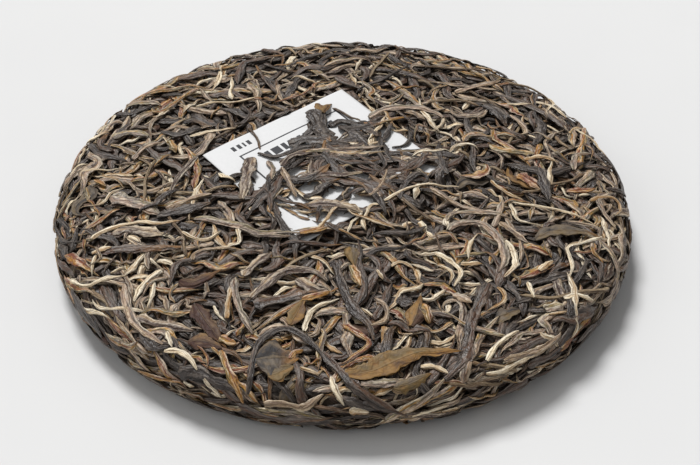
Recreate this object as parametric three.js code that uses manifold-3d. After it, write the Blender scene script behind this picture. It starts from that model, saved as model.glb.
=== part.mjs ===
// A pu-erh tea cake: sun-dried tea leaves, steamed and pressed under a stone into a thin round cake.
// The face is slightly domed, the rim is round and steep, and the back is flat with a round dimple in its
// middle, where the knot of the cloth bag sat in the press. A square paper ticket was laid on the leaves of
// the face, and a last handful of leaves holds its lower half down.
// Millimetres. X runs to the right and Y to the back of the cake as it lies face up, and Z points up.
// The origin is the centre of the flat back.
import * as THREE from "three";
import { ConvexHull } from "three/addons/math/ConvexHull.js";
import { mergeVertices } from "three/addons/utils/BufferGeometryUtils.js";
import Module from "manifold-3d";

const wasm = await Module();
wasm.setup();

// Driving dimensions of the cake
const cakeRadius = 100;
const cakeHeight = 22.5;
const domeRise = 3.2;
const rimHeight = 10.4;
const shoulderWidth = 7.5;
const footRadius = 91;
const dimpleRadius = 22;
const dimpleDepth = 8;

// Leaves of the surface: how far the crown of a leaf stands over the bed it is pressed into, how deep the
// gaps between leaves go, and how far apart the corners along a leaf and the middles of two leaves lie
const leafStand = 1.1;
const gapDepth = 0.9;
const cornerSpacing = 4.2;
const leafWidth = 4.2;
const backLeafWidth = 6.4;
const crownWidth = 2.6;
const longestLeaf = 48;
const shortestLeaf = 14;
const leafTries = 2600;
const gapSpacing = 2.05;
const fillSpacing = 3.2;

// Shares of the whole by which each next leaf moves on, so that the leaves spread evenly over the cake
const evenAlong = 0.754878;
const evenRound = 0.56984;

// The last handful of leaves, which covers the lower part of the ticket: how high its gaps and its crowns
// stand over the bed, and how far past the ticket it thins out, in half sides of the ticket
const coverGap = 0.8;
const coverCrown = 2.2;
const coverReach = 0.33;

// Leaves laid across the bare part of the ticket: the steps along one, its thickness and how high over
// the bed its lower face lies
const strapSteps = 6;
const strapThickness = 1.8;
const strapFloor = 0.1;

// The paper ticket: a square sheet, its centre on the face and the turn of its top edge
const ticketSide = 63;
const ticketThickness = 0.4;
const ticketCentre = new THREE.Vector2(-6.6, 13);
const ticketTurn = 39.8;
const ticketGap = 0.3;
const ticketSink = 0.4;
const ticketSteps = 8;

// Leaves that stand out on the face: across, away, heading, length and bow, in mm and degrees
const leadingLeaves = [
  [-68, -22, 12, 33, -30],
  [-67, -35, 4, 31, 14],
  [-52, -10, 17, 20, 22],
  [-47, -29, 3, 18, 80],
  [-63, -51, -117, 19, -14],
  [-66, -64, -62, 33, 40],
  [-46, -50, 8, 20, 24],
  [-55, -69, -20, 21, -8],
  [-41, -70, -54, 19, -10],
  [-35, -58, 84, 20, 8],
  [-31, -63, -76, 26, 16],
  [-32, -25, -17, 40, -6],
  [-18, -49, 22, 30, -55],
  [-19, -59, 14, 23, 6],
  [-7, -64, 56, 22, -24],
  [3, -60, -70, 39, -8],
  [3, -44, -81, 21, -6],
  [25, -61, -72, 16, 4],
  [-28, -42, 50, 17, 0],
  [27, -6, 22, 31, -16],
  [38, -11, -32, 23, 0],
  [71, -14, -21, 31, -8],
  [50, -31, -50, 33, -120],
  [57, -38, -96, 21, -70],
  [38, -46, -70, 21, -70],
  [75, -34, -120, 30, 60],
  [75, -26, 0, 25, -14],
  [49, -77, 52, 19, 14],
  [60, -79, 34, 27, 16],
  [39, -72, -112, 44, 8],
  [17, -86, 15, 39, -16],
  [-21, -84, -62, 22, 0],
  [-16, -75, 22, 36, -95],
  [2, -90, -46, 34, 10],
  [-50, -81, -32, 18, -70],
  [-56, 5, -108, 25, 12],
  [50, 61, 27, 22, 10],
  [60, 20, -14, 18, 0],
  [57, 43, -58, 18, 0],
  [69, 0, -86, 20, 0],
];

// Leaves that reach out of the last handful over the bare paper, given in the same way, then their width
const strapLeaves = [
  [24, 41, 2, 38, -44, 4.6],
  [-31, -2, -93, 32, 8, 5.6],
  [4, 14, 2, 30, 6, 3.6],
  [-11, 27, -88, 28, 0, 5],
  [6, 24, -58, 26, 0, 6.4],
  [-34, 19, -72, 30, -16, 2.6],
  [-20, 5, -64, 22, 10, 4],
];

// A repeatable draw of numbers from 0 to 1
let drawn = 7;
function draw() {
  drawn = (drawn * 48271) % 2147483647;
  return drawn / 2147483647;
}

function between(low, high) {
  return low + (high - low) * draw();
}

// The outline of half the cake, from the middle of the face round the rim to the middle of the dimple.
// Each stretch gives radius and height; inset is how far the line lies inside the cake's own outline.
function outline(inset, faceSteps, curveSteps) {
  const radius = cakeRadius - inset;
  const top = cakeHeight - inset;
  const shoulder = cakeRadius - shoulderWidth;
  const foot = footRadius;
  const line = [];
  for (let i = 0; i < faceSteps; i++) {
    const r = (shoulder * i) / faceSteps;
    line.push([r, top - domeRise * (r / shoulder) ** 2]);
  }
  for (let i = 0; i < curveSteps; i++) {
    const a = ((Math.PI / 2) * i) / curveSteps;
    line.push([
      shoulder + (radius - shoulder) * Math.sin(a),
      rimHeight + (top - domeRise - rimHeight) * Math.cos(a),
    ]);
  }
  for (let i = 0; i < curveSteps; i++) {
    const a = ((Math.PI / 2) * i) / curveSteps;
    line.push([
      foot + (radius - foot) * Math.cos(a),
      rimHeight + (inset - rimHeight) * Math.sin(a),
    ]);
  }
  const backSteps = Math.round(faceSteps * 0.7);
  for (let i = 0; i < backSteps; i++) {
    line.push([foot + ((dimpleRadius - foot) * i) / backSteps, inset]);
  }
  for (let i = 0; i <= curveSteps; i++) {
    const r = dimpleRadius * (1 - i / curveSteps);
    const rise = (1 + Math.cos((Math.PI * r) / dimpleRadius)) / 2;
    line.push([r, inset + dimpleDepth * rise]);
  }
  return line;
}

// The fine outline that the leaves lie on, with the running length along it
const bed = outline(leafStand, 60, 16);
const bedLength = [0];
for (let i = 1; i < bed.length; i++) {
  const step = Math.hypot(bed[i][0] - bed[i - 1][0], bed[i][1] - bed[i - 1][1]);
  bedLength.push(bedLength[i - 1] + step);
}

// The point of the bed nearest to a point in space, with the outward normal there
function onBed(point) {
  const r = Math.hypot(point.x, point.y);
  let best = { distance: Infinity };
  for (let i = 1; i < bed.length; i++) {
    const [r0, z0] = bed[i - 1];
    const [r1, z1] = bed[i];
    const along = ((r - r0) * (r1 - r0) + (point.z - z0) * (z1 - z0)) /
      ((r1 - r0) ** 2 + (z1 - z0) ** 2);
    const share = Math.min(1, Math.max(0, along));
    const nearR = r0 + (r1 - r0) * share;
    const nearZ = z0 + (z1 - z0) * share;
    const distance = Math.hypot(r - nearR, point.z - nearZ);
    if (distance < best.distance) {
      const above = bedShare[i - 1] + (bedShare[i] - bedShare[i - 1]) * share;
      best = { distance, nearR, nearZ, above, dr: r1 - r0, dz: z1 - z0 };
    }
  }
  const cos = r > 1e-6 ? point.x / r : 1;
  const sin = r > 1e-6 ? point.y / r : 0;
  return {
    place: new THREE.Vector3(best.nearR * cos, best.nearR * sin, best.nearZ),
    normal: new THREE.Vector3(-best.dz * cos, -best.dz * sin, best.dr).normalize(),
    share: best.above,
  };
}

// The share of the cake's surface that lies between the middle of the face and each point of the bed
const bedShare = [0];
for (let i = 1; i < bed.length; i++) {
  bedShare.push(bedShare[i - 1] + (bedLength[i] - bedLength[i - 1]) * (bed[i][0] + bed[i - 1][0]));
}
const wholeSurface = bedShare[bedShare.length - 1];
bedShare.forEach((area, i) => {
  bedShare[i] = area / wholeSurface;
});

// The place on the bed that a share of the surface lies above, at an angle round the cake
function bedPlace(share, angle) {
  const i = Math.max(1, bedShare.findIndex((area) => area >= share));
  const part = (share - bedShare[i - 1]) / (bedShare[i] - bedShare[i - 1]);
  const r = bed[i - 1][0] + (bed[i][0] - bed[i - 1][0]) * part;
  const z = bed[i - 1][1] + (bed[i][1] - bed[i - 1][1]) * part;
  return new THREE.Vector3(r * Math.cos(angle), r * Math.sin(angle), z);
}

// Walks over the bed from a place, turning at an even rate, and gives the places and frames on the way
function walk(start, direction, stepLength, steps, turnPerStep) {
  const spots = [];
  let { place, normal } = onBed(start);
  let ahead = direction.clone().projectOnPlane(normal).normalize();
  for (let i = 0; i <= steps; i++) {
    spots.push({ place: place.clone(), normal: normal.clone(), ahead: ahead.clone() });
    ahead.applyAxisAngle(normal, turnPerStep);
    ({ place, normal } = onBed(place.clone().addScaledVector(ahead, stepLength)));
    ahead = ahead.projectOnPlane(normal).normalize();
  }
  return spots;
}

// A place on the ticket as shares of its half side: along its top edge, and from the top edge down
function ticketShare(place) {
  const turn = THREE.MathUtils.degToRad(ticketTurn);
  const x = place.x - ticketCentre.x;
  const y = place.y - ticketCentre.y;
  return {
    along: (x * Math.cos(turn) + y * Math.sin(turn)) / (ticketSide / 2),
    down: (x * Math.sin(turn) - y * Math.cos(turn)) / (ticketSide / 2),
  };
}

// How far a place on the face is covered by the last handful of leaves, from 0 to 1. The edge of the
// handful runs across the ticket from a third down its left side to halfway down its right side.
function coverAt(place) {
  if (place.z < rimHeight) return 0;
  const { along, down } = ticketShare(place);
  const edge = -0.43 + 0.145 * (along + 1) + 0.05 * Math.sin(along * 9);
  const outside = Math.max(Math.abs(along), Math.abs(down)) - 1;
  const past = THREE.MathUtils.clamp(1 + (0.075 - outside) / (coverReach - 0.075), 0, 1);
  return down > edge ? past : 0;
}

// Whether a place on the face lies under the part of the ticket that stays bare
function underBarePaper(place) {
  if (place.z < rimHeight) return false;
  const { along, down } = ticketShare(place);
  const reach = 1 + 1.2 / ticketSide;
  return Math.abs(along) < reach && Math.abs(down) < reach && coverAt(place) === 0;
}

// How high a corner stands over the bed, with the last handful of leaves added where it lies
function riseWithCover(place, rise) {
  const overPaper = coverGap + ((rise + gapDepth) * (coverCrown - coverGap)) / (leafStand + gapDepth);
  return THREE.MathUtils.lerp(rise, overPaper, coverAt(place));
}

// The spots along a leaf from one end to the other, found by walking both ways from its middle
function leafSpots({ centre, direction, length, bow }, steps) {
  const half = steps / 2;
  const turn = THREE.MathUtils.degToRad(bow) / steps;
  const forward = walk(centre, direction, length / steps, half, turn);
  const backward = walk(centre, direction.clone().negate(), length / steps, half, -turn);
  const back = backward.slice(1).reverse();
  return [...back.map((spot) => ({ ...spot, ahead: spot.ahead.negate() })), ...forward];
}

// The leaf of a list, given by where it lies on the face and how it runs
function faceLeaf([x, y, heading, length, bow, width]) {
  const turn = THREE.MathUtils.degToRad(heading);
  return {
    centre: new THREE.Vector3(x, y, cakeHeight),
    direction: new THREE.Vector3(Math.cos(turn), Math.sin(turn), 0),
    length,
    bow,
    width,
  };
}

// A leaf of the even spread: the longest ones come first, and on the steep rim they run along it
function spreadLeaf(n) {
  const centre = bedPlace((n * evenAlong) % 1, 2 * Math.PI * n * evenRound);
  const { normal } = onBed(centre);
  const around = new THREE.Vector3(-centre.y, centre.x, 0).normalize();
  const outward = normal.clone().cross(around);
  const steepness = 1 - Math.abs(normal.z);
  const spread = Math.PI * (1 - 0.85 * steepness);
  const heading = between(-spread / 2, spread / 2);
  const direction = around
    .multiplyScalar(Math.cos(heading))
    .addScaledVector(outward, Math.sin(heading));
  const length = shortestLeaf + (longestLeaf - shortestLeaf) * (1 - n / leafTries) * between(0.5, 1);
  return { centre, direction, length, bow: between(-60, 60) * (1 - steepness) };
}

// Whether any corner of a list lies within a distance of a place
function isNear(corners, place, distance) {
  return corners.some((corner) => corner.place.distanceTo(place) < distance);
}

// Lays one leaf as a crown of corners. It stops where it would run into a leaf that is laid already.
// On the back the crown is two corners wide, because the leaves there are pressed flat.
function layLeaf(leaf, crowns, stand) {
  const steps = 2 * Math.max(1, Math.round(leaf.length / cornerSpacing / 2));
  const spots = leafSpots(leaf, steps);
  const free = spots.map(({ place, normal }) => {
    const width = normal.z < -0.8 ? backLeafWidth : leafWidth;
    return !underBarePaper(place) && !isNear(crowns, place, width);
  });
  const middle = steps / 2;
  if (!free[middle]) return;
  let first = middle;
  let last = middle;
  while (first > 0 && free[first - 1]) first--;
  while (last < steps && free[last + 1]) last++;
  if (last - first < 2) return;
  const laid = [];
  for (let i = first; i <= last; i++) {
    const { place, normal, ahead } = spots[i];
    const side = normal.clone().cross(ahead);
    const end = i === first || i === last;
    const flat = normal.z < -0.8;
    const rows = flat && !end ? [-crownWidth / 2, crownWidth / 2] : [0];
    const rise = end ? 0.3 * stand : stand * (flat ? 1.1 : between(0.75, 1));
    for (const row of rows) {
      laid.push({ ...onBed(place.clone().addScaledVector(side, row)), rise, side, end });
    }
  }
  crowns.push(...laid);
}

// The corners in the gaps on both sides of every leaf
function gapCorners(crowns) {
  const gaps = [];
  for (const { place, normal, side, end } of crowns) {
    if (end) continue;
    const reach = normal.z < -0.8 ? (backLeafWidth - crownWidth) / 2 : leafWidth / 2;
    for (const way of [-1, 1]) {
      const spot = onBed(place.clone().addScaledVector(side, way * reach * between(0.9, 1.1)));
      if (underBarePaper(spot.place)) continue;
      if (isNear(crowns, spot.place, 0.8 * reach) || isNear(gaps, spot.place, gapSpacing)) continue;
      gaps.push({ ...spot, rise: -gapDepth * between(0.6, 1) });
    }
  }
  return gaps;
}

// Corners for the places no leaf has reached yet. Under the bare paper they lie flat.
function fillCorners(corners) {
  const fill = [];
  for (let n = 0; n < leafTries * 2; n++) {
    const spot = onBed(bedPlace((n * evenAlong + 0.3) % 1, 2 * Math.PI * n * evenRound + 1));
    const flat = underBarePaper(spot.place);
    const spacing = flat ? 2 * fillSpacing : fillSpacing;
    if (isNear(corners, spot.place, spacing) || isNear(fill, spot.place, spacing)) continue;
    fill.push({ ...spot, rise: flat ? -gapDepth : between(-0.7, 0.2) });
  }
  return fill;
}

// Joins corners on the bed to one closed surface. Each corner goes to a ball at the same share of the
// surface, where the hull of all of them links every corner to its neighbours.
function closedSurface(corners) {
  const ballPoints = corners.map(({ place, share }) => {
    const height = 1 - 2 * THREE.MathUtils.clamp(share, 0, 1);
    const radius = Math.sqrt(1 - height ** 2);
    const angle = Math.atan2(place.y, place.x);
    return new THREE.Vector3(radius * Math.cos(angle), radius * Math.sin(angle), height);
  });
  const numberOf = new Map(ballPoints.map((point, i) => [point, i]));
  const hull = new ConvexHull().setFromPoints(ballPoints);
  const faces = [];
  for (const face of hull.faces) {
    let edge = face.edge;
    do {
      faces.push(numberOf.get(edge.head().point));
      edge = edge.next;
    } while (edge !== face.edge);
  }
  const points = corners.map(({ place, normal, rise }) => {
    const point = place.clone().addScaledVector(normal, riseWithCover(place, rise));
    point.z = Math.max(0, point.z);
    return point;
  });
  const geometry = new THREE.BufferGeometry().setFromPoints(points);
  geometry.setIndex(faces);
  return geometry;
}

// The pressed cake without the leaves over the ticket: one closed surface of leaves and the gaps between
function pressedLeaves() {
  const crowns = [];
  for (const leaf of leadingLeaves) layLeaf(faceLeaf(leaf), crowns, leafStand * 1.35);
  for (let n = 0; n < leafTries; n++) layLeaf(spreadLeaf(n), crowns, leafStand);
  const laid = [...crowns, ...gapCorners(crowns)];
  return closedSurface([...laid, ...fillCorners(laid)]);
}

// A leaf laid across the ticket: a thin wavy strip, pointed at both ends and keeled along its upper face.
// Each ring of it has a left edge, a right edge and the keel, and each end is one point.
function strapLeaf(leaf) {
  const spots = leafSpots(leaf, strapSteps);
  const wave = between(0, 2 * Math.PI);
  const keelSide = between(-0.35, 0.35);
  const corners = [];
  spots.forEach(({ place, normal, ahead }, ring) => {
    const side = normal.clone().cross(ahead);
    const end = ring === 0 || ring === strapSteps;
    const fullness = Math.sin((Math.PI * ring) / strapSteps) ** 0.5;
    const floor = strapFloor + 0.6 * coverAt(place);
    const across = (leaf.width / 2) * fullness;
    const tall = strapThickness * (0.4 + 0.6 * fullness) + 0.3 * Math.sin(wave + 2 * ring);
    const corner = (sideways, up) => {
      const point = place.clone().addScaledVector(side, sideways);
      corners.push(point.addScaledVector(normal, floor + up));
    };
    if (end) {
      corner(0, 0.3 * strapThickness);
    } else {
      corner(across, 0);
      corner(-across, 0);
      corner(keelSide * across, tall);
    }
  });
  const faces = [];
  const last = corners.length - 1;
  for (let i = 0; i < 3; i++) {
    const next = (i + 1) % 3;
    faces.push(0, 1 + next, 1 + i);
    faces.push(last, last - 3 + i, last - 3 + next);
    for (let ring = 0; ring < strapSteps - 2; ring++) {
      const near = 1 + 3 * ring;
      faces.push(near + i, near + next, near + 3 + next);
      faces.push(near + i, near + 3 + next, near + 3 + i);
    }
  }
  const geometry = new THREE.BufferGeometry().setFromPoints(corners);
  geometry.setIndex(faces);
  return geometry;
}

// A closed three.js geometry as a solid for joining and cutting
function solid(geometry) {
  const plain = geometry.clone();
  plain.deleteAttribute("normal");
  plain.deleteAttribute("uv");
  const merged = mergeVertices(plain, 1e-3);
  const made = new wasm.Manifold(
    new wasm.Mesh({
      numProp: 3,
      vertProperties: new Float32Array(merged.attributes.position.array),
      triVerts: new Uint32Array(merged.index.array),
    }),
  );
  if (made.volume() > 0) return made;
  const turned = new Uint32Array(merged.index.array);
  for (let i = 0; i < turned.length; i += 3) {
    [turned[i + 1], turned[i + 2]] = [turned[i + 2], turned[i + 1]];
  }
  return new wasm.Manifold(
    new wasm.Mesh({
      numProp: 3,
      vertProperties: new Float32Array(merged.attributes.position.array),
      triVerts: turned,
    }),
  );
}

// A finished solid as a mesh of the model
function meshOf(made, name, material) {
  const { numProp, vertProperties, triVerts } = made.getMesh();
  const corners = new Float32Array((vertProperties.length / numProp) * 3);
  for (let i = 0; i < corners.length / 3; i++) {
    corners.set(vertProperties.subarray(i * numProp, i * numProp + 3), i * 3);
  }
  const geometry = new THREE.BufferGeometry();
  geometry.setAttribute("position", new THREE.BufferAttribute(corners, 3));
  geometry.setIndex(new THREE.BufferAttribute(triVerts, 1));
  const mesh = new THREE.Mesh(geometry, material);
  mesh.name = name;
  return mesh;
}

// The ticket as a sheet that follows the dome, pressed into the bed, and grown on all sides by a margin
function ticketSheet(margin) {
  const side = ticketSide + 2 * margin;
  const thickness = ticketThickness + 2 * margin;
  const geometry = new THREE.BoxGeometry(side, side, thickness, ticketSteps, ticketSteps, 1);
  geometry.rotateZ(THREE.MathUtils.degToRad(ticketTurn));
  geometry.translate(ticketCentre.x, ticketCentre.y, 0);
  const position = geometry.attributes.position;
  for (let i = 0; i < position.count; i++) {
    const x = position.getX(i);
    const y = position.getY(i);
    const { place } = onBed(new THREE.Vector3(x, y, cakeHeight));
    position.setZ(i, place.z - ticketSink + ticketThickness / 2 + position.getZ(i));
  }
  return solid(geometry);
}

// The cake: the pressed leaves with the leaves over the ticket fused on, cut free of the ticket
function teaCake() {
  const straps = strapLeaves.map((leaf) => solid(strapLeaf(faceLeaf(leaf))));
  const joined = wasm.Manifold.union([solid(pressedLeaves()), ...straps]).subtract(ticketSheet(ticketGap));
  const pieces = joined.decompose().sort((a, b) => b.volume() - a.volume());
  return pieces[0];
}

const leafMaterial = new THREE.MeshStandardMaterial({
  color: new THREE.Color(0.21, 0.155, 0.11),
  roughness: 0.62,
  metalness: 0,
});
const paperMaterial = new THREE.MeshStandardMaterial({
  color: new THREE.Color(0.86, 0.86, 0.87),
  roughness: 0.85,
  metalness: 0,
});

const group = new THREE.Group();
group.add(meshOf(teaCake(), "tea_cake", leafMaterial));
group.add(meshOf(ticketSheet(0), "paper_ticket", paperMaterial));

export default group;
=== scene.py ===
import math
from functools import partial, reduce

import bpy
import numpy as np
from mathutils import Matrix


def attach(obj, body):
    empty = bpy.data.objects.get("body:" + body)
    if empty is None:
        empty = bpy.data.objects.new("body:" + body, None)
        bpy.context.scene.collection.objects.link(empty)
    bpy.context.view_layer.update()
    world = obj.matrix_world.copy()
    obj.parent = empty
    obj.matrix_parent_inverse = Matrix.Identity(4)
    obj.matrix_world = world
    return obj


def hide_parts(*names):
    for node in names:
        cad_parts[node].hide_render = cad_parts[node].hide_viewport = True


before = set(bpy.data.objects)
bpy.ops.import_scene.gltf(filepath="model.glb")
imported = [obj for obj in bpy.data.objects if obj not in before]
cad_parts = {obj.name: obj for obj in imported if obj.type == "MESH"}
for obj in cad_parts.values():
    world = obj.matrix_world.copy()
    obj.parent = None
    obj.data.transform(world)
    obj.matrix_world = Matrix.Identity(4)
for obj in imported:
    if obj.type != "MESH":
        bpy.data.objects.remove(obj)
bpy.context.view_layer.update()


# The heart of the cake. Steamed tea leaves pressed under a stone until they hold together by themselves.
# Between the leaves on top it shows only as dark gaps. The turned bed line that every leaf is pressed
# into is drawn here too, in millimetres, from the middle of the face round the rim to the back's dimple.
MM = 0.001
CAKE_RADIUS = 100.0
CAKE_HEIGHT = 22.5
DOME_RISE = 3.2
RIM_HEIGHT = 10.4
SHOULDER_WIDTH = 7.5
FOOT_RADIUS = 91.0
DIMPLE_RADIUS = 22.0
DIMPLE_DEPTH = 8.0
LEAF_STAND = 1.1
CORE_BELOW_BED = 2.3
FACE_POINTS = 120
CURVE_POINTS = 25
BACK_POINTS = 80
DIMPLE_POINTS = 40


def cake_line(inset):
    """Radius and height of the cake's outline, moved inwards, from the face's middle to the back's."""
    radius = CAKE_RADIUS - inset
    top = CAKE_HEIGHT - inset
    shoulder = CAKE_RADIUS - SHOULDER_WIDTH
    face = [(r, top - DOME_RISE * (r / shoulder) ** 2) for r in np.linspace(0, shoulder, FACE_POINTS)[:-1]]
    quarter = np.linspace(0, math.pi / 2, CURVE_POINTS)
    brow = top - DOME_RISE - RIM_HEIGHT
    upper = [(shoulder + (radius - shoulder) * math.sin(a), RIM_HEIGHT + brow * math.cos(a)) for a in quarter]
    lower = [
        (FOOT_RADIUS + (radius - FOOT_RADIUS) * math.cos(a), RIM_HEIGHT + (inset - RIM_HEIGHT) * math.sin(a))
        for a in quarter[1:]
    ]
    back = [(r, inset) for r in np.linspace(FOOT_RADIUS, DIMPLE_RADIUS, BACK_POINTS)[1:-1]]
    dimple = [
        (r, inset + DIMPLE_DEPTH * (1 + math.cos(math.pi * r / DIMPLE_RADIUS)) / 2)
        for r in np.linspace(DIMPLE_RADIUS, 0, DIMPLE_POINTS)
    ]
    return np.array(face + upper + lower + back + dimple)


def running_sum(steps):
    """The sums of the steps so far, from 0 on."""
    return np.concatenate([[0], np.cumsum(steps)])


bed = cake_line(LEAF_STAND)
bed_length = running_sum(np.hypot(*np.diff(bed, axis=0).T))
bed_tangent = np.gradient(bed, bed_length, axis=0)
bed_tangent /= np.linalg.norm(bed_tangent, axis=1)[:, None]
NEAR_CELL = 0.5
NEAR_REACH = 140.0
NEAR_LOW = -15.0
NEAR_HIGH = 45.0
near_radius, near_height = np.meshgrid(
    np.arange(0, NEAR_REACH, NEAR_CELL), np.arange(NEAR_LOW, NEAR_HIGH, NEAR_CELL), indexing="ij"
)
near_gap = np.hypot(near_radius[..., None] - bed[:, 0], near_height[..., None] - bed[:, 1])
nearest_on_bed = near_gap.argmin(axis=2)


def on_bed(points):
    """The nearest places on the bed, the outward normals there, and the bed lengths, for points in mm."""
    radius = np.hypot(points[..., 0], points[..., 1])
    angle = np.arctan2(points[..., 1], points[..., 0])
    column = np.clip((radius / NEAR_CELL).round().astype(int), 0, nearest_on_bed.shape[0] - 1)
    row = ((points[..., 2] - NEAR_LOW) / NEAR_CELL).round().astype(int)
    index = nearest_on_bed[column, np.clip(row, 0, nearest_on_bed.shape[1] - 1)]
    off = np.stack([radius, points[..., 2]], axis=-1) - bed[index]
    length = np.clip(bed_length[index] + (off * bed_tangent[index]).sum(axis=-1), 0, bed_length[-1])
    return bed_place(length, angle)


def turned(radius, angle, height):
    """Places at a distance from the cake's axis, an angle round it, and a height."""
    return np.stack([radius * np.cos(angle), radius * np.sin(angle), height], axis=-1)


def bed_place(length, angle):
    """The place on the bed at a length from the face's middle and an angle round the cake."""
    radius = np.interp(length, bed_length, bed[:, 0])
    height = np.interp(length, bed_length, bed[:, 1])
    outward = -np.interp(length, bed_length, bed_tangent[:, 1])
    upward = np.interp(length, bed_length, bed_tangent[:, 0])
    normal = turned(outward, angle, upward) / np.hypot(outward, upward)[..., None]
    return turned(radius, angle, height), normal, length


def add_object(name, data):
    """An object of the scene from its data."""
    made = bpy.data.objects.new(name, data)
    bpy.context.scene.collection.objects.link(made)
    return made


def mesh_piece(name, places, faces):
    """A mesh object at the origin from places in mm."""
    mesh = bpy.data.meshes.new(name)
    mesh.from_pydata((np.asarray(places) * MM).tolist(), [], faces)
    mesh.update()
    mesh.shade_smooth()
    return add_object(name, mesh)


def feed(made, **values):
    """Sets a node's properties and its sockets, by name or number, and links what other nodes give."""
    for key, value in values.items():
        if hasattr(made, key):
            setattr(made, key, value)
            continue
        socket = made.inputs[int(key[1:]) if key[1:].isdigit() else key.replace("_", " ")]
        if isinstance(value, bpy.types.NodeSocket):
            made.id_data.links.new(value, socket)
        else:
            socket.default_value = value
    return made


def node(tree, kind, **values):
    """A new node of a tree, with what its properties and sockets are fed."""
    return feed(tree.nodes.new(kind), **values)


def colour_ramp(tree, share, colours, low=0.0, high=1.0):
    """Colours spread evenly between a low and a high share."""
    made = node(tree, "ShaderNodeValToRGB", Fac=share)
    points = made.color_ramp.elements
    while len(points) < len(colours):
        points.new(0.5)
    for number, colour in enumerate(colours):
        points[number].position = low + (high - low) * number / (len(colours) - 1)
        points[number].color = (*colour, 1)
    return made.outputs["Color"]


def new_material(name):
    """A material with a Principled BSDF on its output."""
    material = bpy.data.materials.new(name)
    material.use_nodes = True
    return material, material.node_tree, material.node_tree.nodes["Principled BSDF"]


CORE_SECTORS = 200
CORE_BUMP = 0.7
CORE_COLOURS = ((0.040, 0.023, 0.013), (0.100, 0.068, 0.044))
core_line = cake_line(LEAF_STAND + CORE_BELOW_BED)[::2]
core_angles = np.linspace(0, 2 * math.pi, CORE_SECTORS, endpoint=False)
core_radius, core_angle = np.meshgrid(core_line[1:-1, 0], core_angles, indexing="ij")
core_height = np.repeat(core_line[1:-1, 1][:, None], CORE_SECTORS, axis=1)
core_places = turned(core_radius, core_angle, core_height)
core_normals = on_bed(core_places)[1]
core_bump = np.sin(core_places[..., 0] * 0.9 + 2 * np.sin(core_places[..., 1] * 0.31))
core_bump = core_bump * np.cos(core_places[..., 1] * 0.8 + 2 * np.sin(core_places[..., 0] * 0.27))
core_places = core_places + core_normals * (CORE_BUMP * core_bump)[..., None]
rings = core_places.shape[0]
core_middle = [[0, 0, core_line[0, 1]], [0, 0, core_line[-1, 1]]]
core_faces = []
for ring in range(rings - 1):
    for sector in range(CORE_SECTORS):
        here = ring * CORE_SECTORS + sector
        there = ring * CORE_SECTORS + (sector + 1) % CORE_SECTORS
        core_faces.append((here, here + CORE_SECTORS, there + CORE_SECTORS, there))
face_middle = rings * CORE_SECTORS
for sector in range(CORE_SECTORS):
    after = (sector + 1) % CORE_SECTORS
    core_faces.append((face_middle, sector, after))
    last_ring = (rings - 1) * CORE_SECTORS
    core_faces.append((face_middle + 1, last_ring + after, last_ring + sector))
core = mesh_piece("packed_core", np.concatenate([core_places.reshape(-1, 3), core_middle]), core_faces)

core_material, core_tree, core_shader = new_material("packed tea dust and leaf")
core_place = node(core_tree, "ShaderNodeTexCoord").outputs["Object"]
core_noise = node(core_tree, "ShaderNodeTexNoise", Vector=core_place, Scale=420.0, Detail=6.0, Roughness=0.6)
core_noise = core_noise.outputs["Fac"]
core_relief = node(core_tree, "ShaderNodeBump", Strength=0.8, Distance=0.0006, Height=core_noise)
core_colour = colour_ramp(core_tree, core_noise, CORE_COLOURS, 0.35, 0.75)
feed(core_shader, Roughness=0.75, Base_Color=core_colour, Normal=core_relief.outputs["Normal"])
core.data.materials.append(core_material)
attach(core, "root")
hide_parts("tea_cake")


# The camera stands in front of the cake and above it, where the photograph was taken from. It comes
# before the leaves, because those that stand out on the face are laid where it sees them.
PHOTO_WIDTH = 700
PHOTO_HEIGHT = 465
CAMERA_LENS = 75.0
CAMERA_SENSOR = 36.0
CAMERA_DISTANCE = 517.8
CAMERA_ELEVATION = math.radians(39.6)
CAKE_PIXEL_RIGHT = 342.7
CAKE_PIXEL_DOWN = 231.6
CAKE_REACH = 130.0
MARCH_STEPS = 40
MARCH_SHARE = 0.9
pixels_per_unit = CAMERA_LENS / CAMERA_SENSOR * PHOTO_WIDTH
to_camera = np.array([0, -math.cos(CAMERA_ELEVATION), math.sin(CAMERA_ELEVATION)])
camera_place = to_camera * CAMERA_DISTANCE
image_right = np.array([1.0, 0, 0])
image_up = np.cross(to_camera, image_right)


def looking(right, up, back, place):
    """The matrix of a camera or a lamp from its axes and its place."""
    return Matrix([[right[n], up[n], back[n], place[n]] for n in range(3)] + [[0, 0, 0, 1]])


def pixel_rays(pixels):
    """Unit directions from the camera through pixels of the photograph."""
    pixels = np.asarray(pixels, float)
    right = (pixels[..., 0] - CAKE_PIXEL_RIGHT) / pixels_per_unit
    up = -(pixels[..., 1] - CAKE_PIXEL_DOWN) / pixels_per_unit
    rays = right[..., None] * image_right + up[..., None] * image_up - to_camera
    return rays / np.linalg.norm(rays, axis=-1)[..., None]


def under_pixels(pixels):
    """The places on the cake's outline that pixels of the photograph show."""
    rays = pixel_rays(pixels)
    points = camera_place + rays * (CAMERA_DISTANCE - CAKE_REACH)
    for _ in range(MARCH_STEPS):
        foot, normal, _length = on_bed(points)
        clear = ((points - foot) * normal).sum(axis=-1) - LEAF_STAND
        points = points + rays * (MARCH_SHARE * clear)[..., None]
    return points


view_ahead = pixel_rays([PHOTO_WIDTH / 2, PHOTO_HEIGHT / 2])
view_right = np.cross(view_ahead, image_up)
view_right /= np.linalg.norm(view_right)
view_up = np.cross(view_right, view_ahead)
camera_data = bpy.data.cameras.new("camera")
camera_data.lens = CAMERA_LENS
camera_data.sensor_width = CAMERA_SENSOR
camera_data.clip_start = 0.01
camera = add_object("camera", camera_data)
camera.matrix_world = looking(view_right, view_up, -view_ahead, camera_place * MM)
bpy.context.scene.camera = camera


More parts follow.
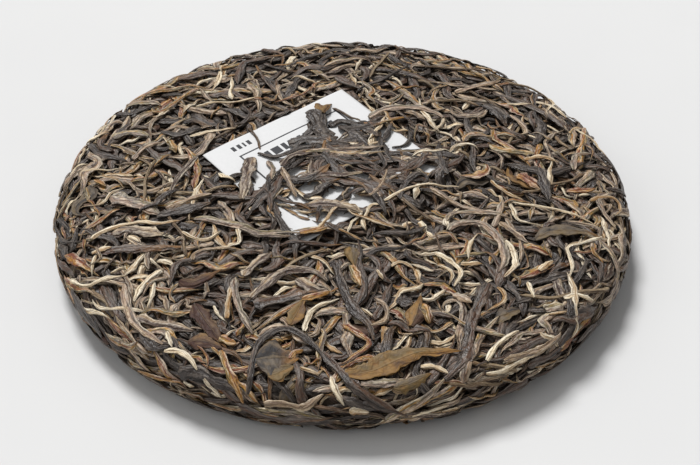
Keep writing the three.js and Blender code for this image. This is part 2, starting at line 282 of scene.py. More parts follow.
# The order the leaves lie in. Each leaf is laid on those below it, as they are when the steamed leaves
# are tipped into the bag. When all of them are laid, the press flattens the heap: its uneven thickness
# goes, and the leaves that lie deep in it are squeezed the most.
rng = np.random.default_rng(20)
STACK_CELL = 0.5
STACK_REACH = 160.0
FOOT_MARGIN = 2.5
# the bed line's places from this one on are past the rim, on the back
LAST_OF_RIM = 180
stack_cells = int(2 * STACK_REACH / STACK_CELL)
face_stack = np.zeros((stack_cells, stack_cells))
back_stack = np.zeros((stack_cells, stack_cells))
whole_length = bed_length[-1]
past_rim = slice(LAST_OF_RIM, None)
foot_length = float(np.interp(-(FOOT_RADIUS + FOOT_MARGIN), -bed[past_rim, 0], bed_length[past_rim]))


def unit(vectors):
    """Vectors of length 1 that point the same way."""
    return vectors / np.maximum(np.linalg.norm(vectors, axis=-1), 1e-9)[..., None]


def on_surface(ahead, normal):
    """Directions of length 1 laid down on the surface with given normals."""
    return unit(ahead - normal * (ahead * normal).sum(axis=-1)[..., None])


def walk(centres, ahead, step, turns):
    """Places on the bed on the way from each centre, with a turn before every step."""
    place, normal, _length = on_bed(centres)
    ahead = on_surface(ahead, normal)
    places = [place]
    for turn in turns.T:
        cos, sin = np.cos(turn)[:, None], np.sin(turn)[:, None]
        ahead = ahead * cos + np.cross(normal, ahead) * sin
        place, normal, _length = on_bed(place + ahead * step[:, None])
        ahead = on_surface(ahead, normal)
        places.append(place)
    return np.stack(places, axis=1)


def leaf_paths(centres, ahead, lengths, headings):
    """The places along leaves that run both ways from their centres with given headings."""
    steps = headings.shape[1] - 1
    half = steps // 2
    turns = np.diff(headings, axis=1)
    forward = walk(centres, ahead, lengths / steps, turns[:, half:])
    backward = walk(centres, -ahead, lengths / steps, -turns[:, :half][:, ::-1])
    return np.concatenate([backward[:, :0:-1], forward], axis=1)


def stack_place(places, on_face):
    """Where places on the bed lie in the map of the heap, measured along the bed from the middle."""
    _foot, _normal, length = on_bed(places)
    angle = np.arctan2(places[..., 1], places[..., 0])
    reach = length if on_face else whole_length - length
    return np.stack([reach * np.cos(angle), reach * np.sin(angle)], axis=-1)


def cells(spots):
    """The cells of the map of the heap that spots on it lie in."""
    index = ((spots + STACK_REACH) / STACK_CELL).astype(int)
    return tuple(np.clip(index, 0, stack_cells - 1).T)


def resampled(where, known, values):
    """Rows of values read off between the known ones."""
    return np.stack([np.interp(where, known, column) for column in values.T], axis=-1)


def lay(stack, spots, widths, thickness):
    """Lays one leaf on the heap and gives the heights of its underside and its top along the way."""
    along = np.gradient(spots, axis=0)
    across = unit(np.stack([-along[:, 1], along[:, 0]], axis=-1))
    shoulders = [spots + across * (share * widths / 2)[:, None] for share in (-0.6, 0, 0.6)]
    under = np.max([stack[cells(line)] for line in shoulders], axis=0)
    padded = np.pad(under, 2, mode="edge")
    bridged = np.maximum(np.maximum(padded[1:-3], padded[2:-2]), padded[3:-1])
    padded = np.pad(bridged, 2, mode="edge")
    under = (padded[:-4] + 2 * padded[1:-3] + 3 * padded[2:-2] + 2 * padded[3:-1] + padded[4:]) / 9
    top = under + thickness * np.sqrt(widths / widths.max())
    fine = np.linspace(0, len(spots) - 1, 3 * len(spots))
    counts = np.arange(len(spots))
    line = resampled(fine, counts, spots)
    sideways = resampled(fine, counts, across)
    fine_width = np.interp(fine, counts, widths)
    fine_top = np.interp(fine, counts, top)
    for share in np.linspace(-1, 1, 2 * int(widths.max() / STACK_CELL / 1.6) + 3):
        found = cells(line + sideways * (share * fine_width / 2)[:, None])
        crown = fine_top - 0.6 * thickness * share**2
        stack[found] = np.maximum(stack[found], crown)
    return under, top


LEAF_KINDS = {
    # kind: length, width and thickness in mm, shortest or thinnest first
    "under_leaf": ((14, 34), (2.2, 5.0), (1.0, 1.6)),
    "dark_leaf": ((14, 38), (1.4, 3.7), (1.0, 1.8)),
    "brown_leaf": ((14, 36), (1.4, 3.8), (0.9, 1.7)),
    "pale_bud": ((9, 26), (1.0, 2.3), (0.8, 1.3)),
    "shred": ((6, 15), (0.8, 1.8), (0.5, 1.0)),
    "stem": ((16, 40), (1.1, 1.9), (1.0, 1.6)),
    "broad_leaf": ((12, 26), (3.6, 6.6), (0.9, 1.4)),
    "back_leaf": ((16, 38), (2.4, 6.0), (0.9, 1.5)),
}
laid_leaves = {}
LEAST_WIDTH = 0.02
SHADED_TIPS = 0.55


def leaf_widths(kind, width, steps, blunt):
    """Width along a leaf: it narrows to a point at its tip and more bluntly at its broken end."""
    share = np.linspace(0, 1, steps + 1)

    def waves(slow, slow_size, quick, quick_size, shift):
        long_waves = slow_size * np.sin(slow * share + 6 * blunt)
        return 1 + long_waves + quick_size * np.sin(quick * share + shift * blunt)

    if kind == "broad_leaf":
        full = np.minimum(1, (share + 0.02) / 0.22) ** 0.55 * np.minimum(1, (1 - share) / 0.6) ** 0.8
        full = full * waves(11, 0.14, 27, 0.08, 20)
    elif kind == "strip":
        full = np.minimum(1, (share + 0.03) / 0.1) ** 0.5 * np.minimum(1, (1.04 - share) / 0.3) ** 0.7
        full = full * waves(8, 0.16, 19, 0.13, 30)
    elif kind == "stem":
        full = np.minimum(1, 8 * np.minimum(share, 1 - share) + 0.5) * (share > 0) * (share < 1)
    else:
        broken_end = np.minimum(1, (share / (0.05 + 0.2 * blunt)) ** 0.6)
        full = broken_end * np.minimum(1, ((1 - share) / 0.4) ** 0.75)
        full = full * waves(9, 0.2, 23, 0.13, 30)
    return width * np.maximum(full, LEAST_WIDTH)


def travelled(path):
    """How far along a path its places are."""
    return running_sum(np.linalg.norm(np.diff(path, axis=0), axis=1))


def keep_leaf(kind, path, on_face, under, top, widths, thickness, tone, below_paper=False):
    """Notes down a laid leaf for the piece of its kind."""
    foot, normal, _length = on_bed(path)
    lengths = travelled(path)
    tip_starts = rng.uniform(0.45, 0.8)
    tip_shade = rng.random() * (rng.random() < SHADED_TIPS)
    laid_leaves.setdefault(kind, []).append(
        {
            "foot": foot,
            "normal": normal,
            "side": unit(np.cross(normal, unit(np.gradient(path, axis=0)))),
            "spots": stack_place(path, on_face),
            "on_face": on_face,
            "below_paper": below_paper,
            "under": under,
            "top": top,
            "widths": widths,
            "thickness": thickness * rng.uniform(0.6, 1.05),
            "along": lengths,
            "tip": np.clip((lengths / lengths[-1] - tip_starts) / (1 - tip_starts), 0, 1) * tip_shade,
            "tone": tone,
            "seed": rng.random(),
        }
    )


RIM_STARTS = 70.0
RIM_EASE = 25.0
# how far leaves turn from a straight line, in radians, and how many of them end in a hook
BOW = 0.9
WAVE = 0.19
KINK = 0.32
HOOK = 1.9
HOOKED_SHARE = 0.28


def lay_layer(number, steps, shares, on_face=True, tries=5, below_paper=False, refuse=None, within=None):
    """Lays a number of leaves, each at the lowest of a few places drawn for it."""
    kinds = rng.choice(list(shares), number, p=np.array(list(shares.values())) / sum(shares.values()))
    stack = face_stack if on_face else back_stack
    least, most = np.array([LEAF_KINDS[kind] for kind in kinds]).transpose(2, 1, 0)
    shares_of_range = [rng.beta(1.6, 2.0, number), rng.beta(1.5, 2.4, number), rng.random(number)]
    lengths, widths, thick = least + (most - least) * np.array(shares_of_range)
    total = number * tries
    low, high = (0, foot_length) if on_face else (foot_length, whole_length)
    if within is None:
        weight = np.interp(bed_length, [low, high], [1, 1], left=0, right=0) * bed[:, 0]
        mass = running_sum((weight[1:] + weight[:-1]) / 2 * np.diff(bed_length))
        reach = np.interp(rng.random(total), mass / mass[-1], bed_length)
        centres, normals, _length = bed_place(reach, rng.random(total) * 2 * math.pi)
    else:
        centres, normals, _length = on_bed(within(total))
    around = unit(np.stack([-centres[:, 1], centres[:, 0], np.zeros(total)], axis=-1))
    outward = np.cross(normals, around)
    steepness = 1 - np.abs(normals[:, 2])
    near_rim = np.clip((np.hypot(centres[:, 0], centres[:, 1]) - RIM_STARTS) / RIM_EASE, 0, 1)
    spread = math.pi * (1 - 0.4 * near_rim - 0.3 * np.minimum(1, 2 * steepness))
    heading = (rng.random(total) - 0.5) * spread
    ahead = around * np.cos(heading)[:, None] + outward * np.sin(heading)[:, None]
    ahead = ahead * rng.choice([-1, 1], total)[:, None]
    share = np.linspace(-0.5, 0.5, steps + 1)
    bow = rng.normal(0, BOW, total) * (1 - 0.75 * steepness)
    wave = rng.normal(0, WAVE, total) * (1 - 0.6 * steepness)
    hook = rng.normal(0, 1, total) * (rng.random(total) < HOOKED_SHARE) * HOOK
    straight = np.tile(kinds == "stem", tries)
    bow[straight] *= 0.35
    hook[straight] *= 0.2
    phase = rng.random(total) * 6.3
    kink = rng.normal(0, KINK, total) * (1 - 0.6 * steepness)
    kink_place = rng.uniform(-0.4, 0.4, total)
    headings = bow[:, None] * share + wave[:, None] * np.sin(11 * share + phase[:, None])
    headings = headings + 0.3 * wave[:, None] * np.sin(27 * share + 3 * phase[:, None])
    headings = headings + kink[:, None] * np.tanh(22 * (share - kink_place[:, None]))
    headings = headings + hook[:, None] * np.clip(share - 0.12, 0, 1) ** 1.5 * 3.5
    paths = leaf_paths(centres, ahead, np.tile(lengths, tries), headings)
    spots = stack_place(paths, on_face)
    banned = refuse(paths) if refuse else np.zeros(total, bool)
    for number_of_leaf in range(number):
        options = [n for n in range(number_of_leaf, total, number) if not banned[n]]
        if not options:
            continue
        heaps = [stack[cells(spots[n])].mean() for n in options]
        chosen = options[int(np.argmin(heaps))]
        kind = kinds[number_of_leaf]
        along_widths = leaf_widths(kind, widths[number_of_leaf], steps, rng.random())
        thickness = thick[number_of_leaf]
        under, top = lay(stack, spots[chosen], along_widths, thickness)
        keep_leaf(
            kind, paths[chosen], on_face, under, top, along_widths, thickness, rng.random(), below_paper
        )


# The paper ticket: a square of thin white paper, laid on the leaves of the face before the last handful
# went on, so that leaves cover its lower part. It is printed in one dark ink.
TICKET_SIDE = 63.0
TICKET_MIDDLE = np.array([-6.9, 13.1])
TICKET_ALONG = np.array([24.7, 20.9])
TICKET_DOWN = np.array([18.2, -25.0])
TICKET_RISE = 0.45
TICKET_THICKNESS = 0.12
TICKET_STEPS = 70
TICKET_OVERLAP = 1.02


def ticket_share(places):
    """Where places lie on the ticket, in half sides from its middle: along its top edge, and down."""
    shares = (places[..., :2] - TICKET_MIDDLE) @ np.linalg.inv([TICKET_ALONG, TICKET_DOWN])
    return shares[..., 0], shares[..., 1]


def on_ticket(places, reach=1.0):
    """Whether places on the face lie on the ticket, out to a reach in half sides."""
    along, down = ticket_share(places)
    return (np.abs(along) < reach) & (np.abs(down) < reach) & (places[..., 2] > RIM_HEIGHT)


def on_bare_paper(places):
    """Whether places lie on the part of the ticket that the last handful leaves bare."""
    along, down = ticket_share(places)
    edge = -0.43 + 0.1 * (along + 1) + 0.07 * np.sin(along * 9)
    return on_ticket(places, TICKET_OVERLAP) & (down < edge)


PAPER_WINDOWS = {
    # name: its two ends in the photograph's pixels, and its radius in mm
    "right part": (391, 135, 402, 138, 2.7),
    "right corner": (415, 145, 424, 148, 2.3),
    "under the right part": (389, 151, 405, 151, 0.5),
    "below the corner": (424, 171, 428, 167, 1.2),
    "beside the crossing leaf": (261, 165, 266, 179, 1.6),
    "at its foot": (258, 187, 259, 188, 0.7),
    "above the loop": (278, 166, 285, 165, 0.7),
    "in the loop": (300, 171, 306, 171, 1.0),
    "under the loop": (293, 181, 296, 180, 1.1),
    "beside the loop": (326, 172, 326, 176, 0.9),
    "left of the middle": (306, 192, 310, 194, 0.9),
    "middle": (325, 198, 337, 194, 0.8),
    "below the left": (297, 199, 302, 203, 1.1),
    "right of the middle": (354, 204, 361, 199, 1.7),
    "beside it": (370, 203, 372, 204, 0.7),
    "above it": (359, 179, 362, 182, 1.0),
    "lower left": (282, 211, 294, 220, 0.9),
    "lower middle": (295, 223, 307, 224, 0.8),
    "lower right": (333, 222, 347, 221, 1.1),
    "near tip": (306, 241, 331, 233, 0.8),
    "between the dark leaves": (339, 130, 345, 129, 0.5),
    "below them": (337, 137, 342, 136, 0.5),
    "at the right edge": (395, 173, 397, 173, 0.5),
}
window_ends = np.array([window[:4] for window in PAPER_WINDOWS.values()]).reshape(-1, 2, 2)
window_ends = on_bed(under_pixels(window_ends))[0]
window_radii = np.array([window[4] for window in PAPER_WINDOWS.values()])
CLEAR_OF_WINDOW = 0.8


def crosses_bare_paper(paths):
    """Whether paths run over the bare part of the ticket or a window in the leaves over its other part."""
    length = window_ends[:, 1] - window_ends[:, 0]
    off = paths[:, :, None] - window_ends[:, 0]
    share = np.clip((off * length).sum(axis=-1) / (length**2).sum(axis=-1), 0, 1)
    gaps = np.linalg.norm(off - share[..., None] * length, axis=-1)
    in_window = (gaps < window_radii + CLEAR_OF_WINDOW).any(axis=(1, 2))
    return on_bare_paper(paths).any(axis=1) | in_window


FACE_SHARES = {"dark_leaf": 0.31, "brown_leaf": 0.26, "pale_bud": 0.17, "stem": 0.04, "shred": 0.22}
lay_layer(number=950, steps=10, shares={"under_leaf": 1.0}, tries=6, below_paper=True)
lay_layer(number=560, steps=14, shares=FACE_SHARES, tries=6, below_paper=True)

ticket_grid = np.linspace(-1, 1, TICKET_STEPS + 1)
grid_along, grid_down = np.meshgrid(ticket_grid, ticket_grid, indexing="ij")
ticket_flat = np.zeros((*grid_along.shape, 3))
ticket_flat[..., :2] = TICKET_MIDDLE + grid_along[..., None] * TICKET_ALONG
ticket_flat[..., :2] += grid_down[..., None] * TICKET_DOWN
ticket_flat[..., 2] = CAKE_HEIGHT
ticket_foot, ticket_normal, _length = on_bed(ticket_flat)
ticket_wave = 0.12 * np.sin(4 * grid_along + 1) * np.cos(3 * grid_down)
ticket_wave += 0.08 * np.sin(9 * grid_along * grid_down + 2)
ticket_lift = TICKET_RISE + ticket_wave + 0.5 * np.clip(np.abs(grid_along * grid_down) - 0.7, 0, 1)
ticket_under = ticket_foot + ticket_normal * ticket_lift[..., None]
ticket_top = ticket_under + ticket_normal * TICKET_THICKNESS
ticket_places = np.concatenate([ticket_top.reshape(-1, 3), ticket_under.reshape(-1, 3)])
row = TICKET_STEPS + 1
below = row * row
ticket_faces = []
for i in range(TICKET_STEPS):
    for j in range(TICKET_STEPS):
        corner = i * row + j
        quad = (corner, corner + row, corner + row + 1, corner + 1)
        ticket_faces.append(quad[::-1])
        ticket_faces.append(tuple(below + k for k in quad))
edge_loop = [i * row for i in range(row)] + [TICKET_STEPS * row + j for j in range(1, row)]
edge_loop += [i * row + TICKET_STEPS for i in range(TICKET_STEPS - 1, -1, -1)]
edge_loop += list(range(TICKET_STEPS - 1, 0, -1))
for here, there in zip(edge_loop, edge_loop[1:] + edge_loop[:1]):
    ticket_faces.append((here, there, below + there, below + here))
ticket = mesh_piece("ticket_sheet", ticket_places, ticket_faces)
print_map = ticket.data.uv_layers.new(name="print")
corner_vertices = np.zeros(len(ticket.data.loops), int)
ticket.data.loops.foreach_get("vertex_index", corner_vertices)
ticket_uv = np.stack([grid_along.ravel(), grid_down.ravel()], axis=-1) * 0.5 + 0.5
print_map.data.foreach_set("uv", ticket_uv[corner_vertices % below].ravel())

FRAME_INSET = 9.6
FRAME_LINE = 0.7
FRAME_END = TICKET_SIDE - FRAME_INSET
PRINT_BOXES = [
    # left, right, top and bottom in mm from the ticket's corner
    (FRAME_INSET, FRAME_END, FRAME_INSET, FRAME_INSET + FRAME_LINE),
    (FRAME_INSET, FRAME_INSET + FRAME_LINE, FRAME_INSET, FRAME_END),
    (FRAME_END - FRAME_LINE, FRAME_END, FRAME_INSET, FRAME_END),
    (40.4, 48.0, 13.6, 14.8),
    (40.4, 46.0, 16.4, 17.6),
]
BLOCK_SIDES = ((17.6, 19.4), (20.4, 23.8), (24.8, 26.6), (27.8, 31.0), (32.0, 33.6), (34.6, 39.0))
BLOCK_ENDS = (13.6, 17.8)
MARK_SIDES = ((9.6, 11.0), (12.0, 13.4), (14.4, 15.2), (16.2, 17.6))
MARK_ENDS = (3.6, 6.4)
PRINT_BOXES += [(*sides, *BLOCK_ENDS) for sides in BLOCK_SIDES]
PRINT_BOXES += [(*sides, *MARK_ENDS) for sides in MARK_SIDES]
INK_COLOUR = (0.02, 0.02, 0.024, 1)
PAPER_WHITES = (0.60, 0.66)


def math_node(tree, operation, *terms):
    """The outcome of a sum of plain numbers and what other nodes give."""
    fed = {f"_{number}": term for number, term in enumerate(terms)}
    return node(tree, "ShaderNodeMath", operation=operation, **fed).outputs[0]


paper, paper_tree, paper_shader = new_material("printed white paper")
paper_calc = partial(math_node, paper_tree)
print_uv = node(paper_tree, "ShaderNodeUVMap", uv_map="print").outputs["UV"]
print_axes = node(paper_tree, "ShaderNodeSeparateXYZ", _0=print_uv).outputs


def print_box(left, right, top, bottom):
    """1 inside a box of the print and 0 outside it, in mm from the ticket's corner."""
    masks = []
    for value, low, high in ((print_axes[0], left, right), (print_axes[1], top, bottom)):
        above = paper_calc("GREATER_THAN", value, low / TICKET_SIDE)
        masks.append(paper_calc("MULTIPLY", above, paper_calc("LESS_THAN", value, high / TICKET_SIDE)))
    return paper_calc("MULTIPLY", *masks)


ink = reduce(partial(paper_calc, "MAXIMUM"), [print_box(*box) for box in PRINT_BOXES])
paper_place = node(paper_tree, "ShaderNodeTexCoord").outputs["Object"]
paper_fibre = node(paper_tree, "ShaderNodeTexNoise", Vector=paper_place, Scale=900.0, Detail=4.0)
paper_fibre = paper_fibre.outputs["Fac"]
paper_tone = node(
    paper_tree, "ShaderNodeMapRange", Value=paper_fibre, To_Min=PAPER_WHITES[0], To_Max=PAPER_WHITES[1]
).outputs[0]
paper_white = node(paper_tree, "ShaderNodeCombineColor", _0=paper_tone, _1=paper_tone, _2=paper_tone)
paper_colour = node(
    paper_tree, "ShaderNodeMix", data_type="RGBA", _0=ink, _6=paper_white.outputs[0], _7=INK_COLOUR
)
paper_relief = node(paper_tree, "ShaderNodeBump", Strength=0.3, Distance=0.0002, Height=paper_fibre)
feed(paper_shader, Roughness=0.7, Base_Color=paper_colour.outputs[2], Normal=paper_relief.outputs["Normal"])
ticket.data.materials.append(paper)
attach(ticket, "root")
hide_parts("paper_ticket")

# From here the heap carries the ticket, which bridges the gaps between the leaves under it.
TICKET_LEVEL_SHARE = 60
map_axis = (np.arange(stack_cells) + 0.5) * STACK_CELL - STACK_REACH
map_grid = np.meshgrid(map_axis, map_axis, indexing="ij")
map_places = np.stack([*map_grid, np.full((stack_cells,) * 2, CAKE_HEIGHT)], axis=-1)
under_ticket = on_ticket(map_places)
ticket_level = np.percentile(face_stack[under_ticket], TICKET_LEVEL_SHARE)
face_stack[under_ticket] = ticket_level


# The last leaves of the face: the handful over the ticket's lower part, and the leaves that show all over
# the face and the rim. None of them lies on the part of the ticket that shows.
def over_ticket(number):
    """Places spread over the covered part of the ticket and a little past it."""
    along = rng.uniform(-1.05, 1.1, number)
    down = rng.uniform(-0.45, 1.15, number)
    places = np.zeros((number, 3))
    places[:, :2] = TICKET_MIDDLE + along[:, None] * TICKET_ALONG + down[:, None] * TICKET_DOWN
    places[:, 2] = CAKE_HEIGHT
    return places


lay_layer(
    number=210,
    steps=18,
    shares={**FACE_SHARES, "dark_leaf": 1.2},
    tries=8,
    refuse=crosses_bare_paper,
    within=over_ticket,
)
MAIN_SHARES = {**FACE_SHARES, "broad_leaf": 0.02}
lay_layer(number=1150, steps=18, shares=MAIN_SHARES, tries=7, refuse=crosses_bare_paper)
FINE_SHARES = {"shred": 0.5, "pale_bud": 0.2, "stem": 0.06, "dark_leaf": 0.12, "brown_leaf": 0.12}
lay_layer(number=240, steps=14, shares=FINE_SHARES, tries=3, refuse=crosses_bare_paper)
lay_layer(number=850, steps=12, shares={"back_leaf": 1.0}, on_face=False, tries=5)


